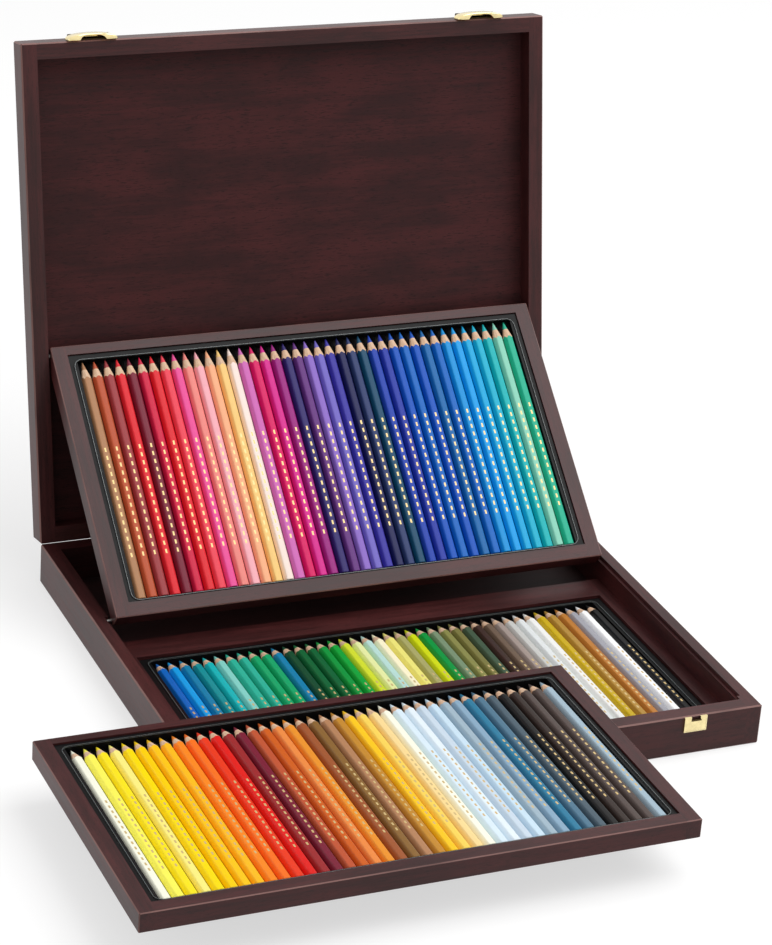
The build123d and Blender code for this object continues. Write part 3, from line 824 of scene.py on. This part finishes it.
def add_piece(name: str, mesh: bpy.types.Mesh, body: str, slot: str, *nodes: str) -> bpy.types.Object:
    """Put a finished mesh in the scene as a piece that rides on a body.

    Args:
        name: the piece's name.
        mesh: its mesh, in the row frame.
        body: the body that it rides on.
        slot: the name of a material slot; not used.
        *nodes: the CAD nodes that it stands for.

    Returns:
        The object.
    """
    piece = new_object(name, mesh)
    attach(piece, body)
    if nodes:
        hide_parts(*nodes)
    LOG.info("built %s on %s: %d faces", name, body, len(mesh.polygons))
    return piece


def rounded_section(low: Vector, high: Vector, radius: float, steps: int = 5) -> list[tuple[float, float]]:
    """A rectangle with rounded corners in the plane of a section.

    Args:
        low: its lowest corner.
        high: its highest corner.
        radius: the corners' radius.
        steps: points on each corner.

    Returns:
        The outline's points.
    """
    corners = ((high.x, high.y, 0), (low.x, high.y, 1), (low.x, low.y, 2), (high.x, low.y, 3))
    points = []
    for x, y, quarter in corners:
        inward = (1 if quarter in (1, 2) else -1, 1 if quarter in (2, 3) else -1)
        cx, cy = x + inward[0] * radius, y + inward[1] * radius
        for k in range(steps):
            angle = math.pi / 2 * (quarter + k / (steps - 1))
            points.append((cx + radius * math.cos(angle), cy + radius * math.sin(angle)))
    return points


@dataclass
class Clasp:
    """A bean-shaped brass cover that turns down over a keeper, drawn from the rim's front edge."""

    side: str
    half: float = 17.0 * MM
    inner: float = 0.3 * MM
    height: float = 4.3 * MM
    arch_half: float = 8.85 * MM
    arch_height: float = 3.0 * MM
    arch_power: int = 4
    sheet: float = 0.35 * MM
    least: float = 0.3 * MM
    lip: float = 3.6 * MM
    waist: float = 1.4 * MM
    lip_at_ends: float = 0.45
    back: float = 7.7 * MM
    back_ease: float = 2.2 * MM
    plan_power: float = 2.6
    dome_power: float = 2.4
    rounding: float = 0.42
    rounded_to: float = 1.5 * MM
    knuckle_half: float = 9.6 * MM
    knuckle_ease: float = 0.2 * MM
    knuckle_end: float = 0.9
    knuckle_sides: int = 24
    strip: float = 2.2 * MM
    strip_from: float = 0.2
    barrel: Point = (1.9 * MM, -9.6 * MM, 1.6 * MM)
    columns: int = 56
    first_column: float = 0.6
    crease: float = math.radians(50)

    def matrix(self) -> Matrix:
        """From the clasp's own frame to the row frame, read from the pin that it turns on."""
        pin = middle(f"clasp_{self.side}_pin")
        outwards = Vector((0, -math.cos(OPEN_ANGLE), math.sin(OPEN_ANGLE)))
        past_rim = Vector((0, -math.sin(OPEN_ANGLE), -math.cos(OPEN_ANGLE)))
        origin = pin - outwards * self.barrel[0] - past_rim * self.barrel[1]
        turn = Matrix((Vector((1, 0, 0)), outwards, past_rim)).transposed().to_4x4()
        return Matrix.Translation(origin) @ turn

    def build(self) -> None:
        """Build the cover with its knuckle, as one piece."""
        brass = BRASS.material()
        name = f"clasp_{self.side}_bean"
        mesh = closed_mesh(name, self._cover_loops(), brass)
        knuckle = closed_mesh(f"{name}_knuckle", self._knuckle_loops(), brass)
        work = bmesh.new()
        work.from_mesh(mesh)
        work.from_mesh(knuckle)
        work.to_mesh(mesh)
        work.free()
        bpy.data.meshes.remove(knuckle)
        mesh.shade_smooth()
        mesh.set_sharp_from_angle(angle=self.crease)
        mesh.transform(self.matrix())
        add_piece(name, mesh, f"clasp_{self.side}", "brass", f"clasp_{self.side}_cover")

    def _cover_loops(self) -> list[list[Vector]]:
        """Sections across the cover, from its left end to its right end."""
        loops = []
        for k in range(self.columns):
            place = (k + self.first_column) / (self.columns - 1 + 2 * self.first_column)
            share = -math.cos(math.pi * place)
            x = share * self.half
            dome = (1 - abs(share) ** self.plan_power) ** (1 / self.dome_power)
            arch = max(0.0, 1 - (abs(x) / self.arch_half) ** self.arch_power)
            top = self.inner + self.sheet + (self.height - self.sheet) * dome
            bottom = min(self.inner + self.arch_height * arch ** 0.5, top - self.least)
            front = self.lip * (self.lip_at_ends + (1 - self.lip_at_ends) * dome) - self.waist * arch
            rear = -self.back + self.back_ease * (1 - dome)
            radius = self.rounding * min(top - bottom, self.rounded_to)
            section = rounded_section(Vector((bottom, rear)), Vector((top, front)), radius)
            loops.append([Vector((x, y, z)) for y, z in section])
        return loops

    def _knuckle_loops(self) -> list[list[Vector]]:
        """Sections of the knuckle and of the strip that joins it to the cover."""
        out, deep, radius = self.barrel
        eased = self.knuckle_half - self.knuckle_ease
        ends = ((self.knuckle_half, self.knuckle_end), (eased, 1.0))
        loops = []
        for x, shrink in [(-x, shrink) for x, shrink in ends] + list(reversed(ends)):
            loop = []
            for k in range(self.knuckle_sides):
                angle = math.tau * k / self.knuckle_sides
                y = out + radius * shrink * math.cos(angle)
                z = deep + radius * shrink * math.sin(angle)
                if math.sin(angle) > self.strip_from and math.cos(angle) > 0:
                    z += self.strip
                loop.append(Vector((x, y, z)))
            loops.append(loop)
        return loops


@dataclass
class Keeper:
    """The bevelled brass plate that a clasp catches, with a notch in its upper edge whose inner faces are
    darkened as painted shade.
    """

    side: str
    bevel: float = 1.35 * MM
    notch_half: float = 3.25 * MM
    notch_depth: float = 2.0 * MM
    notch_bevel: float = 0.45
    wall: float = 0.75 * MM
    ease: float = 0.12 * MM
    eased_to: float = 0.86
    facing: float = 0.9

    def build(self) -> None:
        """Build the plate over its CAD box."""
        low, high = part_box(f"keeper_{self.side}")
        middle_x = (low.x + high.x) / 2
        left, right = middle_x - self.notch_half, middle_x + self.notch_half
        floor = high.z - self.notch_depth
        inner = self.notch_bevel
        outline = (
            (low.x, low.z, 1, 1), (high.x, low.z, -1, 1), (high.x, high.z, -1, -1),
            (right, high.z, inner, -1), (right, floor, inner, -inner), (left, floor, -inner, -inner),
            (left, high.z, -inner, -1), (low.x, high.z, 1, -1),
        )
        depths = ((high.y, 0.0), (low.y + self.wall, 0.0), (low.y + self.ease, self.eased_to), (low.y, 1.0))
        loops = [
            [Vector((x + cut * dx, y, z + cut * dz)) for x, z, dx, dz in outline]
            for y, cut in ((y, share * self.bevel) for y, share in depths)
        ]
        mesh = closed_mesh(f"keeper_{self.side}_plate", loops, BRASS.material())
        mesh.materials.append(SHADED_BRASS.material())
        # the notch's inner faces take the dark brass as painted shade in the recess
        for face in mesh.polygons:
            spot = face.center
            in_notch = abs(spot.x - middle_x) < self.notch_half and spot.z > floor - self.bevel
            if in_notch and abs(face.normal.y) < self.facing:
                face.material_index = 1
        add_piece(f"keeper_{self.side}_plate", mesh, "base", "brass", f"keeper_{self.side}")


@dataclass
class HingeScrews:
    """Countersunk screws that hold the hinge leaves, set by one node tree."""

    radius: float = 1.25 * MM
    rise: float = 0.14 * MM
    slot_half: float = 0.17 * MM
    slot_ease: float = 0.12 * MM
    slot_depth: float = 0.7
    slot_reach: float = 0.95
    least: float = 0.05
    rings: tuple[tuple[float, float], ...] = ((1.0, 0.0), (1.0, 0.45), (0.86, 0.85), (0.55, 1.0))
    sides: int = 24
    spread: float = 11.0 * MM
    reach: float = 4.9 * MM
    sunk: float = 0.2 * MM
    base_seed: int = 9
    lid_seed: int = 8

    def build(self) -> None:
        """Build the screws of both bodies."""
        lid_normal = Vector((0, -math.sin(OPEN_ANGLE), -math.cos(OPEN_ANGLE)))
        lid_along = Vector((0, -math.cos(OPEN_ANGLE), math.sin(OPEN_ANGLE)))
        self._set("base_hinge_screws", "base", self.base_seed, Vector((0, 0, 1)), Vector((0, -1, 0)))
        self._set("lid_hinge_screws", "lid", self.lid_seed, lid_normal, lid_along)

    def _set(self, name: str, body: str, seed: int, normal: Vector, along: Vector) -> None:
        """Set three screws on each leaf of one body.

        Args:
            name: the piece's name.
            body: the body that it rides on.
            seed: the seed of the screws' turns.
            normal: out of the leaf's face.
            along: from the hinge pin to the row of screws.
        """
        spots = []
        for side in ("left", "right"):
            row = middle(f"hinge_{side}_pin") + along * self.reach - normal * self.sunk
            spots += [row + Vector((x, 0, 0)) for x in (-self.spread, 0.0, self.spread)]
        mesh = bpy.data.meshes.new(f"{name}_seeds")
        mesh.from_pydata([tuple(spot) for spot in spots], [], [])
        facing = mesh.attributes.new("facing", "FLOAT_VECTOR", "POINT")
        facing.data.foreach_set("vector", [part for _ in spots for part in normal])
        seeds = new_object(mesh.name, mesh)
        add_piece(name, grown(seeds, screw_tree(), {"Head": self._head(), "Seed": seed}), body, "brass")

    def _head(self) -> bpy.types.Object:
        """One slotted head, its underside on the leaf."""
        loops = []
        for share, height in self.rings:
            loop = []
            for k in range(self.sides):
                angle = math.tau * k / self.sides
                x, y = self.radius * share * math.cos(angle), self.radius * share * math.sin(angle)
                in_slot = abs(y) < self.slot_half + self.slot_ease and share < self.slot_reach
                level = height - self.slot_depth if in_slot else height
                loop.append(Vector((x, y, self.rise * max(level, self.least if height else 0.0))))
            loops.append(loop)
        return new_object("screw_head", closed_mesh("screw_head", loops, BRASS.material()))


@cache
def screw_tree() -> bpy.types.NodeTree:
    """The node tree that sets a screw head on each point, turned at random. It is made once.

    Returns:
        The tree, with inputs for the head and the seed.
    """
    graph, given, sink = new_tree(
        "screw_row", GEOMETRY_TREE, {"Geometry": SHAPE, "Head": THING, "Seed": WHOLE}, {"Geometry": SHAPE},
    )
    head = graph.add("GeometryNodeObjectInfo", object=given["Head"])
    turn = graph.tree.nodes.new("FunctionNodeAlignRotationToVector")
    turn.axis = "Z"
    graph.feed(turn.inputs["Vector"], graph.stored("facing", "FLOAT_VECTOR"))
    placed = graph.add(
        "GeometryNodeInstanceOnPoints", points=given["Geometry"], instance=head.outputs["Geometry"],
        rotation=turn.outputs[0],
    )
    twist = graph.add("ShaderNodeCombineXYZ", z=graph.chance(-math.pi / 2, math.pi / 2, given["Seed"]))
    turned = graph.tree.nodes.new("GeometryNodeRotateInstances")
    graph.wire(turned, {"Instances": placed.outputs[0], "Rotation": twist.outputs[0]})
    real = graph.add("GeometryNodeRealizeInstances", geometry=turned.outputs[0])
    painted = graph.add("GeometryNodeSetMaterial", geometry=real.outputs[0])
    painted.inputs["Material"].default_value = BRASS.material()
    graph.feed(sink.inputs[0], painted.outputs[0])
    return graph.tree


@dataclass
class Bead:
    """The rounded bead pressed into a liner's flange, all round the pocket, coloured light grey as a painted
    highlight on its crest.
    """

    name: str
    body: str
    y_low: float
    y_high: float
    base: float
    half: float = 164.5 * MM
    radius: float = 6.0 * MM
    width: float = 0.9 * MM
    rise: float = 0.64 * MM
    overlap: float = 1.06
    sunk: float = 0.1 * MM
    arc_steps: int = 8
    corner_steps: int = 9

    def build(self, place: Matrix) -> None:
        """Build the bead on its liner.

        Args:
            place: from the tray's frame to the row frame.
        """
        mid = self.width / 2
        low = Vector((-self.half + mid, self.y_low + mid))
        high = Vector((self.half - mid, self.y_high - mid))
        path = rounded_section(low, high, self.radius - mid, self.corner_steps)
        centre = [Vector((x, y, self.base)) for x, y in path]
        count = len(centre)
        reach = mid * self.overlap
        arc = [math.pi * k / self.arc_steps for k in range(self.arc_steps + 1)]
        profile = [(math.cos(angle) * reach, math.sin(angle) * self.rise) for angle in arc]
        profile += [(-reach, -self.sunk), (reach, -self.sunk)]
        loops = []
        for k, here in enumerate(centre):
            along = (centre[(k + 1) % count] - centre[k - 1]).normalized()
            side = Vector((along.y, -along.x, 0))
            loops.append([here + side * out + Vector((0, 0, up)) for out, up in profile])
        # the bead's light grey is a painted highlight on the black liner
        mesh = closed_mesh(f"{self.name}_bead", loops, BEAD_HIGHLIGHT.material(), ring=True)
        mesh.shade_smooth()
        mesh.transform(place)
        add_piece(f"{self.name}_bead", mesh, self.body, "insert_plastic")


class Case:
    """The wooden boards of the base and the lid, and their brass."""

    @staticmethod
    def dress() -> None:
        """Finish every board and fitting."""
        lid_turn = math.pi - OPEN_ANGLE
        for finish, grain, turn, names in (
            (RAIL_WOOD, Grain.ALONG_X, 0.0, "base_front_wall base_back_wall nest_front_rail nest_back_rail"),
            (RAIL_WOOD, Grain.ALONG_Y, 0.0, "base_left_wall base_right_wall nest_left_rail nest_right_rail"),
            (FLOOR_WOOD, Grain.ALONG_X, 0.0, "base_floor"),
            (RAIL_WOOD, Grain.ALONG_X, lid_turn, "lid_front_rail lid_back_rail"),
            (RAIL_WOOD, Grain.ALONG_Y, lid_turn, "lid_left_stile lid_right_stile"),
            (PANEL_WOOD, Grain.ALONG_X, lid_turn, "lid_panel"),
        ):
            dress(finish.material(grain, turn), *names.split())
        for side in ("left", "right"):
            dress(BRASS.material(), f"hinge_{side}_base_leaf", f"hinge_{side}_lid_leaf", f"hinge_{side}_pin")
            # the clasp leaves and pins are dark brass as painted shade
            dress(SHADED_BRASS.material(), f"clasp_{side}_leaf", f"clasp_{side}_pin")
            Clasp(side).build()
            Keeper(side).build()
        HingeScrews().build()


@dataclass
class Tray:
    """A tray's boards, insert and pencils."""

    name: str
    body: str
    placement: Placement
    pencils: tuple[Lacquer, ...]
    first_end: float = 12.2 * MM
    pencil_top: float = 12.7 * MM
    flange: float = 12.0 * MM
    bead_room: float = 1.5 * MM
    has_boards: bool = True

    def build(self) -> None:
        """Dress the boards and build the pencils."""
        if self.has_boards:
            across = RAIL_WOOD.material(Grain.ALONG_X, self.placement.tilt)
            along = RAIL_WOOD.material(Grain.ALONG_Y, self.placement.tilt)
            dress(across, f"{self.name}_front_rail", f"{self.name}_back_rail")
            dress(along, f"{self.name}_left_rail", f"{self.name}_right_rail")
            dress(FLOOR_WOOD.material(Grain.ALONG_X, self.placement.tilt), f"{self.name}_board")
        dress(BLACK_SHEET.material(), f"{self.name}_insert")
        row = PencilRow(f"{self.name}_pencils", self.pencils, self.first_end, self.pencil_top)
        piece = row.build(self.placement.matrix())
        front, back = self.first_end - self.bead_room, self.first_end + row.pencil.length + self.bead_room
        Bead(self.name, self.body, front, back, self.flange).build(self.placement.matrix())
        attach(piece, self.body)
        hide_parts(f"{self.name}_pencils")


# ---- pencils ------------------------------------------------------------------------------------


class Zone(Enum):
    """The three surfaces of a pencil."""

    LACQUER = 0
    WOOD = 1
    LEAD = 2


@dataclass(frozen=True)
class Pencil:
    """One sharpened hexagonal pencil along Y, with a flat uppermost."""

    length: float = 176.8 * MM
    flats: float = 6.9 * MM
    cone: float = 12.0 * MM
    point: float = 0.35 * MM
    lead: float = 1.9 * MM
    corner: float = 0.45 * MM
    corner_cut: float = 0.35
    corner_blend: float = 0.25
    tail_core: float = 0.25
    tail_ease: float = 0.35 * MM
    paint_edge: float = 0.03 * MM
    paint: float = 0.06 * MM
    tip_share: float = 0.4
    tip_rise: float = 0.12 * MM
    per_side: int = 8

    def radius(self, angle: float) -> float:
        """The distance from the middle to the outline, with rounded corners.

        Args:
            angle: direction from the middle, in radians.

        Returns:
            The radius in metres.
        """
        turned = (angle + math.pi / 6) % (math.pi / 3) - math.pi / 6
        from_flat = math.pi / 6 - abs(turned)
        straight = self.flats / 2 / math.cos(from_flat)
        limit = self.flats / math.sqrt(3) - self.corner * self.corner_cut
        blend = self.corner * self.corner_blend
        return -blend * math.log(math.exp(-straight / blend) + math.exp(-limit / blend))

    def build(self) -> bpy.types.Object:
        """Make one pencil with its zones and places as attributes.

        Returns:
            A scratch object, from which rows are made.
        """
        count = 6 * self.per_side
        slope = (self.flats / 2 - self.point) / self.cone
        angles = [math.tau * k / count for k in range(count)]
        outline = [self.radius(a) for a in angles]
        cut = [self.length - (r - self.point) / slope for r in outline]
        lead_end = self.length - (self.lead - self.point) / slope
        rings = [
            [(self.tail_core * r, 0.0) for r in outline],
            [(r - self.tail_ease, 0.0) for r in outline],
            [(r, self.tail_ease) for r in outline],
            [(r, 0.5 * (self.length - self.cone)) for r in outline],
            [(r, end - self.paint_edge) for r, end in zip(outline, cut)],
            [(r - self.paint, end + self.paint_edge) for r, end in zip(outline, cut)],
            [(self.lead, lead_end)] * count,
            [(0.5 * (self.lead + self.point), 0.5 * (lead_end + self.length))] * count,
            [(self.point, self.length)] * count,
            [(self.tip_share * self.point, self.length + self.tip_rise)] * count,
        ]
        zones = [Zone.LACQUER] * 4 + [Zone.WOOD] * 2 + [Zone.LEAD] * 3
        points = [(r * math.cos(a), y, r * math.sin(a)) for ring in rings for (r, y), a in zip(ring, angles)]
        faces = []
        kinds = []
        for ring, zone in enumerate(zones):
            for k in range(count):
                after = (k + 1) % count
                base, top = ring * count, (ring + 1) * count
                faces.append((base + k, top + k, top + after, base + after))
                kinds.append(zone.value)
        faces.append(tuple(range(count)))
        kinds.append(Zone.LACQUER.value)
        last = (len(rings) - 1) * count
        faces.append(tuple(reversed(range(last, last + count))))
        kinds.append(Zone.LEAD.value)
        mesh = bpy.data.meshes.new("one_pencil")
        mesh.from_pydata(points, [], faces)
        mesh.polygons.foreach_set("use_smooth", [kind != Zone.LACQUER.value for kind in kinds])
        zone_layer = mesh.attributes.new("zone", "INT", "FACE")
        zone_layer.data.foreach_set("value", kinds)
        place_layer = mesh.attributes.new("place", "FLOAT_VECTOR", "POINT")
        places = [c for x, y, z in points for c in (x, self.length - y, z)]
        place_layer.data.foreach_set("vector", places)
        mesh.update()
        return new_object("one_pencil", mesh)


@dataclass
class PencilRow:
    """Forty pencils side by side, made by one node tree from one pencil."""

    name: str
    lacquers: tuple[Lacquer, ...]
    start: float
    top: float
    pitch: float = 8.07 * MM
    slide: float = 0.35 * MM
    pencil: Pencil = field(default_factory=Pencil)

    def build(self, place: Matrix) -> bpy.types.Object:
        """Make the row as one mesh.

        Args:
            place: from the tray's frame to the row frame.

        Returns:
            The finished object, at the origin.
        """
        one = self.pencil.build()
        values = {"Pencil": one, "Slide": self.slide, "Seed": len(self.name)}
        mesh = grown(self._seeds(), pencil_row_tree(), values)
        mesh.name = self.name
        mesh.transform(place)
        piece = new_object(f"{self.name}_row", mesh)
        LOG.info("built %s: %d pencils, %d faces", self.name, len(self.lacquers), len(mesh.polygons))
        return piece

    def _seeds(self) -> bpy.types.Object:
        """One point for each pencil, which carries its lacquer."""
        half = (len(self.lacquers) - 1) * self.pitch / 2
        height = self.top - self.pencil.flats / 2
        points = [(k * self.pitch - half, self.start, height) for k in range(len(self.lacquers))]
        mesh = bpy.data.meshes.new(f"{self.name}_seeds")
        mesh.from_pydata(points, [], [])
        layer = mesh.attributes.new("lacquer", "FLOAT_COLOR", "POINT")
        colors = [c for lacquer in self.lacquers for c in (*linear(lacquer.value), 1.0)]
        layer.data.foreach_set("color", colors)
        return new_object(mesh.name, mesh)


@cache
def pencil_row_tree() -> bpy.types.NodeTree:
    """The node tree that sets a pencil on each point. It is made once.

    Returns:
        The tree, with inputs for the pencil, how far it may slide and the seed.
    """
    graph, given, sink = new_tree(
        "pencil_row", GEOMETRY_TREE, {"Geometry": SHAPE, "Pencil": THING, "Slide": FLOAT, "Seed": WHOLE},
        {"Geometry": SHAPE},
    )
    pencil = graph.add("GeometryNodeObjectInfo", object=given["Pencil"]).outputs["Geometry"]
    placed = graph.add("GeometryNodeInstanceOnPoints", points=given["Geometry"], instance=pencil).outputs[0]
    slide = graph.chance(graph.product(given["Slide"], -1.0), 0.0, given["Seed"])
    shift = graph.add("ShaderNodeCombineXYZ", y=slide).outputs[0]
    moved = graph.add("GeometryNodeTranslateInstances", instances=placed, translation=shift)
    geometry = graph.add("GeometryNodeRealizeInstances", geometry=moved.outputs[0]).outputs[0]
    zone = graph.stored("zone", "INT")
    looks = PencilFinish()
    finishes = {Zone.LACQUER: looks.lacquer(), Zone.WOOD: looks.wood(), Zone.LEAD: looks.lead()}
    for kind, finish in finishes.items():
        same = graph.tree.nodes.new("FunctionNodeCompare")
        same.data_type = "INT"
        same.operation = "EQUAL"
        for socket, value in zip([s for s in same.inputs if s.type == "INT"], (zone, kind.value)):
            graph.feed(socket, value)
        painted = graph.add("GeometryNodeSetMaterial", geometry=geometry, selection=same.outputs[0])
        painted.inputs["Material"].default_value = finish
        geometry = painted.outputs[0]
    graph.feed(sink.inputs[0], geometry)
    return graph.tree


# ---- studio -------------------------------------------------------------------------------------


@dataclass(frozen=True)
class Lamp:
    """A square area lamp."""

    name: str
    place: Point
    aim: Point
    size: float
    power: float

    def build(self) -> None:
        """Set the lamp up, turned to what it lights."""
        data = bpy.data.lights.new(self.name, "AREA")
        data.shape = "SQUARE"
        data.size = self.size
        data.energy = self.power
        turn = (Vector(self.aim) - Vector(self.place)).to_track_quat("-Z", "Y").to_matrix().to_4x4()
        new_object(self.name, data).matrix_world = Matrix.Translation(self.place) @ turn


@dataclass(frozen=True)
class Studio:
    """A white floor, soft light and the camera of the photograph."""

    focal_px: float = 3312.89
    centre_px: tuple[float, float] = (533.95, 536.98)
    frame_px: tuple[int, int] = (772, 945)
    eye: Point = (-0.818556, -1.785909, 1.058365)
    right: Point = (0.904411, -0.417841, 0.086309)
    up: Point = (0.114051, 0.431687, 0.894784)
    sensor: float = 36.0
    far: float = 50.0
    floor_half: float = 30.0
    floor_color: Color = (0.42, 0.42, 0.42)
    floor_roughness: float = 0.9
    floor_glow: float = 0.62
    world_light: float = 0.50
    world_seen: float = 1.0
    lamps: tuple[Lamp, ...] = (
        Lamp("key_lamp", (1.1, -0.5, 2.3), (0.0, -0.05, 0.1), 2.2, 52.0),
        Lamp("left_lamp", (-2.4, 0.5, 0.9), (-0.2, 0.0, 0.1), 1.6, 9.0),
    )

    def build(self) -> None:
        """Set up the camera, the floor, the lamps and the world."""
        self._camera()
        self._floor()
        for lamp in self.lamps:
            lamp.build()
        self._world()
        bpy.context.scene.view_settings.view_transform = "Standard"

    def _camera(self) -> None:
        """The camera, with the photograph's view and framing."""
        width, height = self.frame_px
        data = bpy.data.cameras.new("photo_camera")
        data.sensor_fit = "VERTICAL"
        data.sensor_height = self.sensor
        data.sensor_width = self.sensor
        data.lens = self.focal_px * self.sensor / height
        data.shift_x = (width / 2 - self.centre_px[0]) / height
        data.shift_y = (self.centre_px[1] - height / 2) / height
        data.clip_end = self.far
        right = Vector(self.right).normalized()
        up = Vector(self.up)
        up = (up - right * up.dot(right)).normalized()
        back = right.cross(up)
        turn = Matrix((right, up, back)).transposed().to_4x4()
        camera = new_object("photo_camera", data)
        camera.matrix_world = Matrix.Translation(self.eye) @ turn
        bpy.context.scene.camera = camera

    def _floor(self) -> None:
        """A wide white floor that shows white and keeps the case's shadow."""
        size = self.floor_half
        mesh = bpy.data.meshes.new("studio_floor")
        corners = [(-size, -size, 0), (size, -size, 0), (size, size, 0), (-size, size, 0)]
        mesh.from_pydata(corners, [], [(0, 1, 2, 3)])
        floor = new_object("studio_floor", mesh)
        material, graph, shader = principled("white_floor")
        graph.wire(shader, {
            "Base Color": self.floor_color,
            "Roughness": self.floor_roughness,
            "Specular IOR Level": 0.0,
            "Emission Color": WHITE,
            "Emission Strength": graph.product(graph.looked_at(), self.floor_glow),
        })
        mesh.materials.append(material)

    def _world(self) -> None:
        """Even white light all round."""
        world = bpy.data.worlds.new("white_room")
        world.use_nodes = True
        graph = Graph(world.node_tree)
        strength = graph.ramp(graph.looked_at(), 0.0, 1.0, self.world_light, self.world_seen)
        graph.wire(world.node_tree.nodes["Background"], {"Color": WHITE, "Strength": strength})
        bpy.context.scene.world = world


def main() -> None:
    """Build the case and report each piece."""
    logging.basicConfig(level=logging.INFO, format="%(name)s: %(message)s")
    Studio().build()
    Case.dress()
    for part in ("left_pin", "right_pin", "left_guide", "right_guide"):
        dress(STEEL.material(), f"lean_tray_{part}")
    loose_low, loose_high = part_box("loose_tray_front_rail")
    nest_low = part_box("nest_front_rail")[0]
    loose_place = Placement((loose_low.x + loose_high.x) / 2, loose_low.y, loose_low.z, 0.0)
    nest_place = Placement(0.0, nest_low.y, 0.0, 0.0)
    trays = (
        Tray("lean_tray", "lean_tray", TrayPins().placement(), LEAN_ROW),
        Tray("loose_tray", "loose_tray", loose_place, LOOSE_ROW),
        Tray(
            "nest", "base", nest_place, NEST_ROW, first_end=5.8 * MM, pencil_top=11.4 * MM, flange=10.3 * MM,
            has_boards=False,
        ),
    )
    for tray in trays:
        tray.build()


if __name__ == "__main__":
    main()
